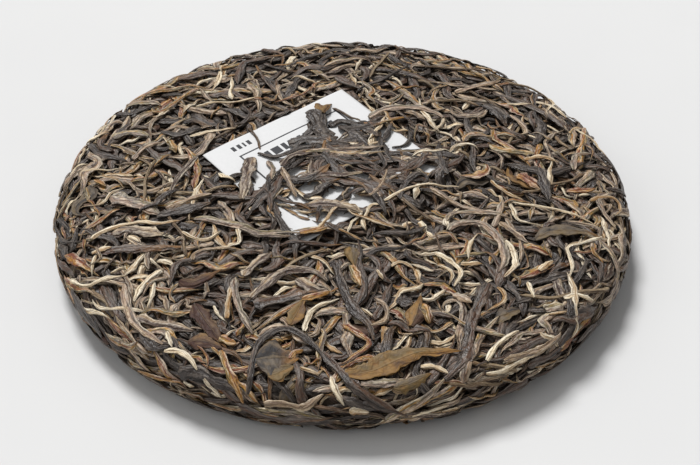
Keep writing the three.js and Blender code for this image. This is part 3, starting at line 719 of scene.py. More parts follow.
# The leaves that catch the eye, laid on top of the rest. Each follows its own line across the face: the
# cream buds, the long dark twists, the unrolled blades, and those that hold the ticket down.
LARGE_STEP = 1.4
LARGE_LEAVES = {
    # name: kind, width and thickness in mm, tone, and the line it follows in the photograph's pixels
    "wrinkled leaf at the left": ("brown", 5.0, 1.2, 0.54, (112, 197), (134, 203), (160, 213)),
    "taupe leaf under the fork": ("brown", 4.4, 1.2, 0.1, (113, 234), (135, 229), (163, 235)),
    "forked pale stem at the left": (
        "pale", 1.8, 1.3, 0.4, (92, 240), (100, 233), (138, 221), (162, 225), (180, 222)
    ),
    "grey leaf at the left": ("dark", 3.6, 1.5, 0.85, (98, 250), (120, 249), (145, 251), (181, 247)),
    "pale end of it": ("pale", 1.8, 1.4, 0.3, (92, 253), (101, 250), (112, 248)),
    "dark leaf under the orange end": ("dark", 3.6, 1.4, 0.4, (157, 216), (182, 211), (211, 203)),
    "orange end": ("brown", 2.3, 1.4, 0.36, (166, 208), (191, 200), (212, 196)),
    "cream bend": ("pale", 1.3, 1.2, 0.5, (183, 233), (194, 240), (208, 242), (221, 232)),
    "cream v at the left": ("pale", 1.4, 1.2, 0.6, (71, 280), (86, 288), (103, 278), (126, 277)),
    "short pale bit at the left": ("pale", 1.1, 1.0, 0.5, (110, 270), (125, 266)),
    "cream bud at the left": ("pale", 1.9, 1.5, 0.6, (161, 270), (141, 287), (134, 301)),
    "tan leaf down the left": ("brown", 2.5, 1.6, 0.43, (125, 286), (126, 306), (135, 326), (163, 344)),
    "cream bit beside it": ("pale", 1.3, 1.1, 0.6, (155, 284), (152, 299), (147, 308)),
    "dark red blade at the left": ("blade", 5.0, 1.2, 0.04, (180, 277), (194, 286), (222, 270)),
    "taupe leaf at the left": ("brown", 3.0, 1.6, 0.14, (138, 317), (166, 324), (193, 331)),
    "dark plate at the left": ("blade", 6.4, 1.1, 0.1, (188, 340), (204, 341), (222, 349)),
    "dark purple blade": ("blade", 5.4, 1.3, 0.0, (195, 306), (206, 323), (227, 348)),
    "orange bit at its end": ("brown", 3.0, 1.4, 0.88, (221, 337), (228, 342), (236, 341)),
    "ochre bud upright": ("pale", 1.7, 1.4, 0.05, (227, 319), (229, 299), (236, 278)),
    "grey leaf upright": ("brown", 2.3, 1.5, 0.57, (235, 281), (235, 299), (242, 315), (253, 333)),
    "tan loop": ("brown", 1.6, 1.1, 0.29, (193, 261), (194, 250), (215, 249), (236, 249)),
    "yellow strand at the left rim": ("brown", 1.3, 1.0, 0.71, (61, 205), (70, 193), (82, 180)),
    "second strand at the left rim": ("brown", 1.3, 1.0, 0.71, (58, 219), (64, 206), (74, 193)),
    "green bit at the left": ("brown", 1.6, 1.1, 0.71, (86, 188), (89, 201)),
    "long olive leaf under the ticket": (
        "brown", 2.6, 1.5, 0.6, (194, 217), (228, 224), (262, 232), (300, 237)
    ),
    "short leaf beside it": ("brown", 1.9, 1.2, 0.14, (240, 230), (262, 236), (290, 239)),
    "rust bit at the ticket's tip": ("brown", 2.0, 1.2, 0.93, (300, 237), (327, 231)),
    "big taupe curve": (
        "brown", 3.2, 1.7, 0.14, (251, 300), (262, 289), (280, 274), (307, 267), (327, 279)
    ),
    "cream bit in the curve": ("pale", 1.5, 1.2, 0.6, (273, 298), (280, 288), (292, 286)),
    "taupe leaf in the middle": ("brown", 4.0, 1.5, 0.14, (296, 281), (311, 289), (332, 292)),
    "dark leaf in the middle": ("dark", 4.0, 1.6, 0.6, (254, 306), (283, 299), (318, 293)),
    "cream sickle": ("pale", 1.8, 1.6, 0.7, (304, 331), (307, 314), (318, 305), (339, 295)),
    "long dark twist": ("dark", 2.9, 1.8, 0.4, (334, 260), (342, 286), (353, 310), (369, 324), (374, 340)),
    "olive blade in the middle": ("blade", 5.2, 1.2, 0.6, (350, 244), (352, 258), (355, 270)),
    "ochre end of it": ("brown", 3.0, 1.5, 0.86, (351, 268), (356, 278), (361, 288)),
    "pale curl in the middle": ("pale", 1.1, 1.0, 0.5, (377, 272), (383, 280)),
    "tan hook": ("brown", 1.8, 1.4, 0.29, (376, 300), (387, 307), (387, 320), (371, 327)),
    "ochre bit": ("brown", 1.6, 1.2, 0.86, (393, 284), (407, 285)),
    "brown leaf in the middle": ("blade", 6.0, 1.7, 0.26, (411, 328), (418, 312), (421, 294)),
    "ochre end of it on the right": ("brown", 3.0, 1.5, 0.86, (423, 306), (427, 314), (430, 322)),
    "dark bit in the middle": ("dark", 4.0, 1.4, 0.2, (397, 300), (412, 305)),
    "pale loop in the middle": ("pale", 1.2, 1.0, 0.4, (391, 268), (401, 262), (415, 268)),
    "taupe leaf above the curve": ("brown", 3.0, 1.5, 0.14, (244, 277), (256, 264), (272, 253)),
    "thin twig": ("stem", 1.4, 1.2, 0.6, (283, 268), (304, 257), (328, 250)),
    "cream thread": ("pale", 0.9, 0.9, 0.1, (339, 232), (362, 240)),
    "long cream thread": (
        "pale", 1.2, 1.1, 0.5, (384, 204), (400, 195), (412, 190), (432, 186), (459, 185)
    ),
    "tan bit over the ticket": ("brown", 1.7, 1.3, 0.29, (369, 201), (381, 192), (387, 176)),
    "pink tan leaf": ("brown", 1.8, 1.3, 0.43, (430, 191), (452, 202), (484, 213)),
    "pink leaf upright": ("brown", 2.0, 1.4, 0.43, (493, 227), (499, 216), (503, 201)),
    "pale leaf to the right": ("pale", 1.2, 1.1, 0.5, (511, 202), (539, 207), (569, 213), (595, 224)),
    "tan leaf to the right": ("brown", 2.1, 1.4, 0.29, (500, 223), (515, 234), (527, 244)),
    "grey arch": (
        "brown", 2.8, 1.7, 0.5,
        (448, 232), (454, 225), (473, 222), (487, 226), (500, 240), (507, 260), (499, 274),
    ),
    "bright cream arch": ("pale", 2.0, 1.9, 0.7, (506, 242), (515, 251), (517, 267), (504, 279)),
    "pale bit under the arch": ("pale", 1.7, 1.2, 0.3, (461, 264), (482, 264)),
    "olive bit under the arch": ("brown", 1.6, 1.1, 0.71, (455, 256), (487, 254)),
    "cream hook": ("pale", 1.7, 1.4, 0.6, (435, 254), (455, 264), (463, 274), (454, 288)),
    "pale ring": ("pale", 1.2, 1.1, 0.4, (441, 268), (454, 275), (449, 285)),
    "pink block": ("pale", 1.9, 1.4, 0.35, (539, 272), (553, 261)),
    "sharp cream bend": ("pale", 1.3, 1.2, 0.6, (602, 238), (569, 247), (566, 251), (574, 265), (569, 279)),
    "veined blade at the right": ("blade", 5.2, 1.2, 0.8, (536, 237), (560, 230), (588, 234), (601, 239)),
    "ochre curl": ("pale", 1.4, 1.3, 0.05, (497, 289), (504, 293), (506, 302), (487, 312)),
    "cream bit to the right": ("pale", 1.4, 1.2, 0.6, (528, 281), (534, 299)),
    "cream loop to the right": ("pale", 1.7, 1.3, 0.6, (564, 299), (577, 294), (595, 300)),
    "olive block to the right": ("brown", 4.0, 1.4, 0.6, (545, 310), (564, 305)),
    "cream thread below it": ("pale", 1.1, 1.0, 0.1, (549, 315), (567, 312)),
    "cream leaf at the near right": ("pale", 1.7, 1.4, 0.6, (487, 361), (494, 348), (501, 341), (519, 330)),
    "tan leaf at the near right": ("brown", 2.1, 1.4, 0.29, (504, 361), (521, 356), (542, 351), (567, 330)),
    "pale leaf at the near right": ("pale", 1.4, 1.2, 0.45, (487, 374), (501, 373), (521, 361), (537, 355)),
    "long grey leaf": ("dark", 3.8, 1.8, 0.65, (488, 285), (472, 316), (469, 346), (465, 361), (445, 379)),
    "pink grey bit": ("brown", 2.8, 1.4, 0.43, (453, 295), (472, 304)),
    "pale bit beside it": ("pale", 1.1, 1.0, 0.5, (478, 285), (465, 296)),
    "cream tick": ("pale", 1.1, 1.0, 0.6, (574, 318), (579, 326), (573, 339)),
    "large olive blade": (
        "blade", 7.4, 2.2, 0.46, (344, 374), (366, 374), (394, 362), (415, 353), (436, 351), (462, 352)
    ),
    "blue grey plate": ("blade", 13.5, 1.3, 1.0, (256, 360), (274, 358), (299, 359)),
    "olive plate beside it": ("blade", 7.0, 1.2, 0.62, (268, 376), (280, 373), (294, 366)),
    "ochre wing": ("blade", 5.2, 1.3, 0.42, (290, 326), (298, 312), (305, 299)),
    "rust strip over it": ("brown", 2.4, 1.5, 0.9, (302, 301), (316, 298), (330, 291)),
    "rust curl on the plate": ("brown", 2.0, 1.4, 0.93, (290, 360), (294, 353), (303, 349)),
    "cream bit on the plate": ("pale", 1.3, 1.3, 0.3, (300, 368), (319, 374)),
    "dark ring round the plate": (
        "dark", 2.1, 1.6, 0.4,
        (248, 394), (252, 360), (261, 338), (282, 326), (303, 336), (318, 349), (330, 368),
    ),
    "pale s at the near side": ("pale", 1.7, 1.4, 0.65, (331, 374), (334, 388), (344, 406)),
    "dark leaf at the near side": ("dark", 2.9, 1.7, 0.6, (323, 354), (352, 384), (380, 406), (408, 416)),
    "grey bit at the near side": ("brown", 2.5, 1.4, 0.57, (361, 384), (380, 383), (403, 380)),
    "pale bit under the blade": ("pale", 2.0, 1.4, 0.4, (421, 364), (436, 366), (448, 373)),
    "dark olive blade": ("blade", 4.2, 1.2, 0.64, (394, 388), (415, 383), (432, 371)),
    "tan leaf at the near rim": ("brown", 2.2, 1.4, 0.29, (264, 404), (289, 404), (303, 411), (323, 394)),
    "olive leaf at the near rim": ("brown", 2.7, 1.3, 0.6, (248, 409), (272, 413), (303, 415), (327, 419)),
    "pink bit at the near rim": ("pale", 2.2, 1.3, 0.3, (349, 411), (369, 412)),
    "pale leaf at the near rim": ("pale", 1.4, 1.1, 0.5, (412, 416), (432, 411), (449, 405)),
    "yellow bit at the near rim": ("pale", 1.5, 1.1, 0.2, (442, 412), (460, 408)),
    "cream leaf at the near left": ("pale", 1.7, 1.4, 0.55, (164, 351), (176, 350), (189, 356), (197, 370)),
    "white bit at the near left": ("pale", 1.4, 1.2, 0.75, (167, 332), (172, 347)),
    "ochre leaf at the near left": (
        "brown", 2.2, 1.4, 0.86, (221, 351), (228, 371), (237, 388), (244, 405)
    ),
    "orange strand at the rim": ("brown", 1.6, 1.1, 0.86, (138, 371), (158, 379), (179, 384)),
    "pale bit at the rim": ("pale", 1.2, 1.1, 0.5, (181, 384), (192, 389)),
    "white leaf at the near left": ("pale", 1.3, 1.1, 0.75, (204, 379), (213, 391), (220, 399)),
    "dark leaf at the left rim": ("dark", 4.0, 1.3, 0.3, (71, 292), (85, 315), (102, 337)),
    "ochre edge at the left rim": ("brown", 1.5, 1.1, 0.86, (68, 288), (75, 304)),
    "cream leaf at the far left": ("pale", 1.2, 1.1, 0.45, (196, 106), (215, 103), (236, 103), (260, 99)),
    "cream leaf beside the ticket": ("pale", 1.4, 1.2, 0.5, (190, 138), (208, 132), (236, 130)),
    "bright ochre bit": ("brown", 2.5, 1.3, 0.82, (170, 141), (176, 151)),
    "grey tan leaf at the far left": ("brown", 2.1, 1.3, 0.5, (133, 160), (145, 148), (162, 142)),
    "olive leaf at the far left": ("brown", 3.2, 1.3, 0.65, (113, 138), (130, 132), (149, 137)),
    "pale thread at the left": ("pale", 1.0, 1.0, 0.5, (71, 176), (78, 165), (88, 165)),
    "second thread at the left": ("pale", 1.0, 1.0, 0.5, (81, 172), (99, 170), (120, 167)),
    "brown leaf beside the ticket": ("brown", 2.1, 1.4, 0.0, (197, 159), (177, 179), (169, 197)),
    "ochre bit at the left": ("brown", 1.8, 1.2, 0.86, (95, 181), (106, 186)),
    "tan leaf at the far side": ("brown", 2.1, 1.3, 0.43, (455, 93), (480, 87), (500, 81)),
    "cream thread at the far side": ("pale", 1.1, 1.0, 0.55, (507, 105), (531, 105)),
    "white thread at the far rim": ("pale", 1.2, 1.0, 0.7, (536, 102), (554, 106), (567, 118)),
    "pink hook at the far side": ("brown", 1.8, 1.2, 0.43, (510, 117), (523, 126), (528, 134), (520, 136)),
    "olive leaf at the right": ("brown", 3.2, 1.4, 0.75, (490, 145), (499, 153), (534, 154)),
    "cream arch at the right": ("pale", 1.7, 1.4, 0.25, (524, 161), (540, 157), (559, 163)),
    "grey ring at the right": ("brown", 2.0, 1.3, 0.5, (574, 171), (574, 155), (591, 154)),
    "cream leaf at the right rim": ("pale", 1.3, 1.1, 0.6, (613, 177), (623, 188), (629, 200)),
    "dark leaf at the far side": ("dark", 4.0, 1.4, 0.3, (484, 105), (497, 113), (507, 124)),
    "red leaf at the right": ("brown", 4.3, 1.4, 1.0, (519, 174), (530, 181), (540, 188)),
    "rust leaf at the right": ("brown", 2.3, 1.3, 1.0, (567, 190), (588, 191), (595, 187)),
    "dark leaf at the right": ("dark", 3.4, 1.4, 0.3, (539, 170), (545, 185), (549, 201)),
    "cream loop at the right": (
        "pale", 1.3, 1.2, 0.1, (590, 202), (602, 197), (618, 198), (622, 211), (615, 216)
    ),
    "dark leaf on the ticket": ("dark", 3.8, 1.8, 0.1, (321, 106), (314, 120), (318, 136), (312, 154)),
    "second dark leaf on the ticket": (
        "dark", 3.0, 1.9, 0.0, (323, 110), (321, 124), (327, 138), (324, 156)
    ),
    "third dark leaf on the ticket": ("dark", 2.6, 1.7, 0.2, (316, 128), (308, 136), (296, 139)),
    "dark leaf along the print": ("dark", 3.0, 1.6, 0.2, (290, 142), (308, 144), (330, 146), (350, 150)),
    "dark curl beside it": (
        "dark", 2.4, 1.6, 0.1, (329, 126), (341, 120), (352, 124), (366, 126), (374, 134)
    ),
    "dark bit beside it": ("dark", 3.0, 1.5, 0.2, (352, 128), (366, 134), (378, 142)),
    "brown bit in the cover": ("brown", 3.0, 1.5, 0.0, (300, 182), (322, 178), (345, 181), (362, 176)),
    "dark bit in the cover": ("dark", 3.2, 1.5, 0.2, (288, 181), (303, 186), (318, 180), (330, 170)),
    "rust tip of it": ("blade", 3.2, 1.6, 0.36, (322, 117), (319, 110), (316, 103)),
    "ochre half of the tip": ("blade", 2.6, 1.5, 0.42, (323, 117), (327, 109), (332, 103)),
    "dark stem on the ticket": ("stem", 1.1, 1.0, 0.1, (332, 107), (346, 114), (361, 125)),
    "dark bundle on the ticket": ("dark", 4.2, 1.9, 0.2, (340, 126), (356, 140), (368, 152)),
    "dark heap on the ticket": ("dark", 5.0, 2.0, 0.1, (289, 146), (305, 143), (322, 147), (338, 143)),
    "dark body on the ticket": ("dark", 5.4, 2.2, 0.0, (314, 114), (317, 126), (323, 138), (331, 148)),
    "dark strip at the arch": ("dark", 2.6, 1.5, 0.2, (348, 134), (362, 133), (380, 129)),
    "leaf between the windows": ("dark", 1.9, 1.2, 0.1, (383, 141), (388, 133), (392, 126)),
    "thin curl before the corner": (
        "dark", 1.2, 1.0, 0.2, (392, 147), (403, 146), (409, 142), (411, 135), (406, 128)
    ),
    "taupe leaf over the lower part": (
        "brown", 3.6, 1.6, 0.14, (309, 209), (330, 207), (352, 212), (362, 216)
    ),
    "dark leaf over the lower part": (
        "dark", 2.4, 1.5, 0.2, (304, 200), (318, 196), (326, 188), (340, 184)
    ),
    "grey strand on the ticket": ("brown", 1.7, 1.3, 0.5, (332, 155), (358, 154), (384, 152)),
    "cream strand on the ticket": ("pale", 1.3, 1.2, 0.4, (330, 158), (358, 160), (384, 157)),
    "grey arch behind the ticket": (
        "brown", 2.9, 1.7, 0.5, (369, 118), (387, 110), (415, 107), (436, 113), (443, 120)
    ),
    "leaf across the ticket's edge": ("brown", 4.2, 1.6, 0.1, (252, 158), (247, 180), (242, 202)),
    "thread across the ticket": ("stem", 1.0, 0.8, 0.0, (247, 127), (258, 138), (260, 149)),
    "brown loop on the ticket": ("brown", 2.2, 1.4, 0.0, (282, 171), (290, 160), (313, 159)),
    "tan leaf on the ticket": ("brown", 2.0, 1.3, 0.29, (282, 173), (289, 186), (296, 198)),
    "dark leaf below it": ("dark", 1.9, 1.3, 0.2, (258, 153), (276, 159), (307, 153)),
    "grey leaf below it": ("brown", 1.9, 1.3, 0.57, (268, 161), (274, 171), (272, 185)),
}


def smooth_line(points, rounds=3):
    """A line with its corners cut, so that it bends as a leaf does."""
    points = np.array(points, float)
    for _ in range(rounds):
        cut = np.empty((2 * len(points) - 2, 2))
        cut[0::2] = 0.75 * points[:-1] + 0.25 * points[1:]
        cut[1::2] = 0.25 * points[:-1] + 0.75 * points[1:]
        points = np.concatenate([points[:1], cut, points[-1:]])
    return points


LARGE_FORMS = {"blade": "broad_leaf", "stem": "stem"}
LARGE_STEPS = (8, 32)
for kind, width, thickness, tone, *line in LARGE_LEAVES.values():
    seen_line = under_pixels(smooth_line(line))
    reached = travelled(seen_line)
    steps = int(np.clip(reached[-1] / LARGE_STEP, *LARGE_STEPS))
    large_path = on_bed(resampled(np.linspace(0, reached[-1], steps + 1), reached, seen_line))[0]
    large_widths = leaf_widths(LARGE_FORMS.get(kind, "strip"), width, steps, rng.random())
    under, top = lay(face_stack, stack_place(large_path, True), large_widths, thickness)
    keep_leaf("large_" + kind, large_path, True, under, top, large_widths, thickness, tone)

# A few fine scraps lie on them, and leaves fill the rim, where the press closes the gaps.
RIM_WIDTH = 24.0


def on_rim(number):
    """Places spread round the cake's rim."""
    reach = foot_length - RIM_WIDTH * rng.random(number)
    return bed_place(reach, rng.random(number) * 2 * math.pi)[0]


lay_layer(number=90, steps=12, shares=FINE_SHARES, tries=5, refuse=crosses_bare_paper)
lay_layer(number=300, steps=12, shares={"shred": 0.45, "under_leaf": 0.55}, tries=8, within=on_rim)


# The press. The heap's own height, smoothed, becomes the cake's even surface; on the ticket the paper is
# that surface. Leaves above it keep most of their height and those below it are squeezed together.
FACE_LEVEL = 0.75
BACK_LEVEL = 0.45
DEPTH_BELOW = 2.7
HEIGHT_ABOVE = 2.4
ROOM_ON_PAPER = 1.2
ROOM_NARROWS = (70, 95)
ROOM_AT_RIM = 0.3
EVEN_OVER = 7.0
PAPER_EDGE_OVER = 1.5
THINNEST = 0.36
THICKEST = 0.62
TUCKED_UNDER = 0.15
TUCKED_REACH = 1.03
FLATTENED = 2.2
REACH_UNDER = 1.45
REACH_ASIDE = 0.6
OVER_TABLE = 0.1
MAP_MARGIN = 2.0
LEAST_COUNT = 0.02


def smoothed(field, over):
    """A map of the heap, smoothed over a distance in mm."""
    waves = np.fft.fftfreq(stack_cells, STACK_CELL)
    kernel = np.exp(-2 * (math.pi * over) ** 2 * (waves[:, None] ** 2 + waves[None, :] ** 2))
    return np.fft.ifft2(np.fft.fft2(field) * kernel).real


def even_surface(stack, counted):
    """The heap's smoothed height, from the part of the map that counts."""
    weight = np.maximum(smoothed(counted * 1.0, EVEN_OVER), LEAST_COUNT)
    return smoothed(stack * counted, EVEN_OVER) / weight


map_reach = np.hypot(map_places[..., 0], map_places[..., 1])
on_paper = np.clip(smoothed(under_ticket * 1.0, PAPER_EDGE_OVER), 0, 1)
face_surface = even_surface(face_stack, (map_reach < foot_length + MAP_MARGIN) & ~under_ticket)
face_surface = face_surface * (1 - on_paper) + ticket_level * on_paper
face_level = FACE_LEVEL * (1 - on_paper) + (TICKET_RISE + TICKET_THICKNESS) * on_paper
back_surface = even_surface(back_stack, map_reach < whole_length - foot_length + MAP_MARGIN)


def pressed(leaf, heights):
    """Heights over the bed, in mm, that the press gives to heights in the loose heap along a leaf."""
    found = cells(leaf["spots"])
    surface = face_surface[found] if leaf["on_face"] else back_surface[found]
    level = face_level[found] if leaf["on_face"] else BACK_LEVEL
    off = heights - surface
    deep = -DEPTH_BELOW * (1 - np.exp(np.minimum(off, 0) / DEPTH_BELOW))
    room = HEIGHT_ABOVE + (ROOM_ON_PAPER * on_paper[found] if leaf["on_face"] else 0)
    room = room * np.interp(np.hypot(*leaf["foot"][:, :2].T), ROOM_NARROWS, (1, ROOM_AT_RIM))
    high = room * (1 - np.exp(-np.maximum(off, 0) / room))
    return level + np.where(off < 0, deep, high)


for leaf in (leaf for leaves in laid_leaves.values() for leaf in leaves):
    slimness = np.sqrt(leaf["widths"] / leaf["widths"].max())
    top = pressed(leaf, leaf["top"])
    half_thick = (top - pressed(leaf, leaf["under"])) / FLATTENED
    half_thick = np.maximum(half_thick, THINNEST * leaf["thickness"]) * slimness
    half_thick = np.minimum(half_thick, THICKEST * leaf["thickness"])
    if leaf["below_paper"]:
        tucked = np.minimum(top, TICKET_RISE - TUCKED_UNDER)
        top = np.where(on_ticket(leaf["foot"], TUCKED_REACH), tucked, top)
    normal = leaf["normal"]
    middle = leaf["foot"] + normal * (top - half_thick)[:, None]
    reach_down = REACH_UNDER * half_thick * np.abs(normal[:, 2])
    reach_down = reach_down + REACH_ASIDE * leaf["widths"] * np.abs(leaf["side"][:, 2])
    middle[:, 2] = np.maximum(middle[:, 2], reach_down + OVER_TABLE)
    leaf["middle"] = middle
    leaf["sideways"] = leaf["side"] * (leaf["widths"] / 2)[:, None]
    leaf["upward"] = normal * half_thick[:, None]


# Rolled leaves. In the wok and by hand each leaf was twisted lengthwise into a creased strand; the press
# bent them round each other. One tree of nodes sweeps a lobed section, which turns as it goes, along the
# middle line of every leaf of a kind.
LEAF_DENTS = 1.3
JOIN_WITHIN = 0.000005


def group_sockets(tree, kind, names, way="INPUT"):
    """Adds sockets of one kind to a node group."""
    for name in names:
        tree.interface.new_socket(name=name, in_out=way, socket_type="NodeSocket" + kind)


def sweep_tree():
    """Geometry nodes: leaf middle lines in, closed leaves out."""
    tree = bpy.data.node_groups.new("rolled leaf", "GeometryNodeTree")
    group_sockets(tree, "Geometry", ["Geometry"])
    group_sockets(tree, "Int", ["Sides"])
    group_sockets(tree, "Float", ["Crease", "Curl", "Dents"])
    group_sockets(tree, "Material", ["Material"])
    group_sockets(tree, "Geometry", ["Geometry"], "OUTPUT")
    calc = partial(math_node, tree)

    def calc_vector(operation, first, second):
        fed = {"Scale" if operation == "SCALE" else "_1": second}
        return node(tree, "ShaderNodeVectorMath", operation=operation, _0=first, **fed).outputs[0]

    def named(name, kind="FLOAT"):
        return node(tree, "GeometryNodeInputNamedAttribute", data_type=kind, Name=name).outputs["Attribute"]

    def vector(name):
        return named(name, "FLOAT_VECTOR")

    def store(geometry, name, kind, value):
        fed = {"data_type": kind, "domain": "POINT", "Geometry": geometry, "Name": name, "Value": value}
        return node(tree, "GeometryNodeStoreNamedAttribute", **fed).outputs[0]

    given = node(tree, "NodeGroupInput").outputs
    rails = node(tree, "GeometryNodeMeshToCurve", _0=given["Geometry"]).outputs[0]
    circle = node(tree, "GeometryNodeCurvePrimitiveCircle", Resolution=given["Sides"]).outputs["Curve"]
    number = node(tree, "GeometryNodeInputIndex").outputs[0]
    profile = store(circle, "around", "FLOAT", calc("DIVIDE", number, given["Sides"]))
    swept = node(tree, "GeometryNodeCurveToMesh", Curve=rails, Profile_Curve=profile).outputs[0]
    turn = named("turn")
    seed = named("seed")
    angle = calc("MULTIPLY", named("around"), 2 * math.pi)
    sine = calc("SINE", angle)
    cosine = calc("COSINE", angle)
    lobes, small_lobes = (
        calc("ABSOLUTE", calc("SINE", calc("MULTIPLY_ADD", angle, number, calc("MULTIPLY", turn, twist))))
        for number, twist in ((1.5, 0.5), (2.5, -0.4))
    )
    ridge = calc("ADD", calc("MULTIPLY_ADD", lobes, 1.3, -0.8), calc("MULTIPLY_ADD", small_lobes, 0.7, -0.4))
    reach = calc("MULTIPLY_ADD", ridge, given["Crease"], 1.0)
    onward = calc("ADD", named("along"), calc("MULTIPLY", seed, 900.0))
    leaf_place = node(tree, "ShaderNodeCombineXYZ", _0=onward, _1=cosine, _2=sine).outputs[0]
    dents = node(tree, "ShaderNodeTexNoise", Scale=0.7, Detail=2.0, Vector=leaf_place).outputs["Fac"]
    reach = calc("MULTIPLY_ADD", calc("SUBTRACT", dents, 0.5), given["Dents"], reach)
    across = calc("MULTIPLY", cosine, reach)
    sharpness = calc("MULTIPLY_ADD", seed, 0.8, 0.25)
    lens = calc("MULTIPLY", sine, calc("POWER", calc("ABSOLUTE", sine), sharpness))
    bend = calc("MULTIPLY", given["Curl"], calc("SUBTRACT", calc("MULTIPLY", across, across), 0.4))
    bend = calc("MULTIPLY", bend, calc("SINE", calc("ADD", calc("MULTIPLY", turn, 0.5), seed)))
    upward = calc("ADD", calc("MULTIPLY", lens, reach), bend)
    place = calc_vector("ADD", vector("middle"), calc_vector("SCALE", vector("sideways"), across))
    place = calc_vector("ADD", place, calc_vector("SCALE", vector("upward"), upward))
    moved = node(tree, "GeometryNodeSetPosition", Geometry=swept, Position=place).outputs[0]
    stored = store(moved, "leaf_place", "FLOAT_VECTOR", leaf_place)
    closed = node(tree, "GeometryNodeMergeByDistance", Geometry=stored, Distance=JOIN_WITHIN).outputs[0]
    smooth = node(tree, "GeometryNodeSetShadeSmooth", Geometry=closed).outputs[0]
    real = node(tree, "GeometryNodeRealizeInstances", Geometry=smooth).outputs[0]
    finish = node(tree, "GeometryNodeSetMaterial", Geometry=real, Material=given["Material"]).outputs[0]
    node(tree, "NodeGroupOutput", Geometry=finish)
    return tree


rolled_leaf = sweep_tree()


def range_node(tree, value, low, high, at_low=0.0, at_high=1.0):
    """What a value becomes when its range is eased into another."""
    fed = {"From_Min": low, "From_Max": high, "To_Min": at_low, "To_Max": at_high}
    return node(tree, "ShaderNodeMapRange", interpolation_type="SMOOTHSTEP", Value=value, **fed).outputs[0]


def leaf_attribute(tree, name, socket="Fac"):
    """What an attribute of the leaves' meshes says."""
    return node(tree, "ShaderNodeAttribute", attribute_name=name).outputs[socket]


def leaf_grain_group():
    """Shader group: the creases that run along a rolled leaf, its fibres, mottling, edges and relief, with a
    mask of painted shade in the creases and one of painted highlight along the ridges between them.
    """
    tree = bpy.data.node_groups.new("leaf grain", "ShaderNodeTree")
    names = ("Groove", "Fibre", "Mottle", "Edge", "Face", "Crest", "Tone", "Tip", "Height")
    group_sockets(tree, "Float", names, "OUTPUT")
    calc = partial(math_node, tree)
    between = partial(range_node, tree)
    place = leaf_attribute(tree, "leaf_place", "Vector")
    turn = leaf_attribute(tree, "turn")
    axes = node(tree, "ShaderNodeSeparateXYZ", _0=place).outputs
    angle = calc("ARCTAN2", axes[2], axes[1])

    def noise(stretch, scale, detail):
        drawn_out = node(tree, "ShaderNodeMapping", Vector=place, Scale=(stretch, 1.0, 1.0)).outputs[0]
        made = node(tree, "ShaderNodeTexNoise", Vector=drawn_out, Scale=scale, Detail=detail, Roughness=0.6)
        return made.outputs["Fac"]

    def creases(number, twist, shift):
        wave = calc("MULTIPLY_ADD", angle, number, calc("MULTIPLY_ADD", turn, twist, shift))
        return calc("ABSOLUTE", calc("SINE", wave))

    fibre = noise(0.07, 3.4, 4.0)
    mottle = noise(0.28, 0.9, 5.0)
    wrinkle = noise(0.6, 1.7, 3.0)
    wander = calc("MULTIPLY_ADD", noise(0.5, 0.55, 2.0), 3.0, -1.5)
    deep = creases(1.5, 0.5, wander)
    middling = creases(2.5, -0.4, calc("MULTIPLY", wander, 1.6))
    fine = creases(7.0, 0.3, calc("MULTIPLY", wander, 4.0))
    # Painted shade: darkest in the deep creases, weaker where the mottling runs high, and also in the
    # middling creases and the wrinkles.
    groove = calc("SUBTRACT", 1.0, between(deep, 0.02, 0.45))
    groove = calc("MULTIPLY", groove, between(mottle, 0.36, 0.62, 1.0, 0.35))
    groove = calc("MAXIMUM", groove, between(middling, 0.0, 0.32, 0.55, 0.0))
    groove = calc("MAXIMUM", groove, between(wrinkle, 0.30, 0.44, 0.6, 0.0))
    height = calc("MULTIPLY_ADD", calc("SQRT", deep), 0.6, calc("MULTIPLY", calc("SQRT", middling), 0.4))
    for part, share in ((fine, 0.07), (fibre, 0.4), (wrinkle, 0.55)):
        height = calc("MULTIPLY_ADD", part, share, height)
    # Painted highlight: a mask along the ridges between the creases, where light would catch, broken up by
    # the wrinkles.
    crest_highlight = calc("MULTIPLY_ADD", deep, 0.55, calc("MULTIPLY", middling, 0.45))
    crest_highlight = calc("MULTIPLY", between(crest_highlight, 0.72, 0.93), between(wrinkle, 0.42, 0.56))
    edge = between(calc("MULTIPLY_ADD", wander, 0.12, axes[1]), 0.56, 0.78)
    face = between(calc("MULTIPLY_ADD", wander, 0.3, axes[1]), -0.12, 0.12)
    tone = leaf_attribute(tree, "tone")
    tip = leaf_attribute(tree, "tip")
    results = (groove, fibre, mottle, edge, face, crest_highlight, tone, tip, height)
    node(tree, "NodeGroupOutput", **dict(zip(names, results)))
    return tree


leaf_grain = leaf_grain_group()
LEAF_SHINE = 0.42


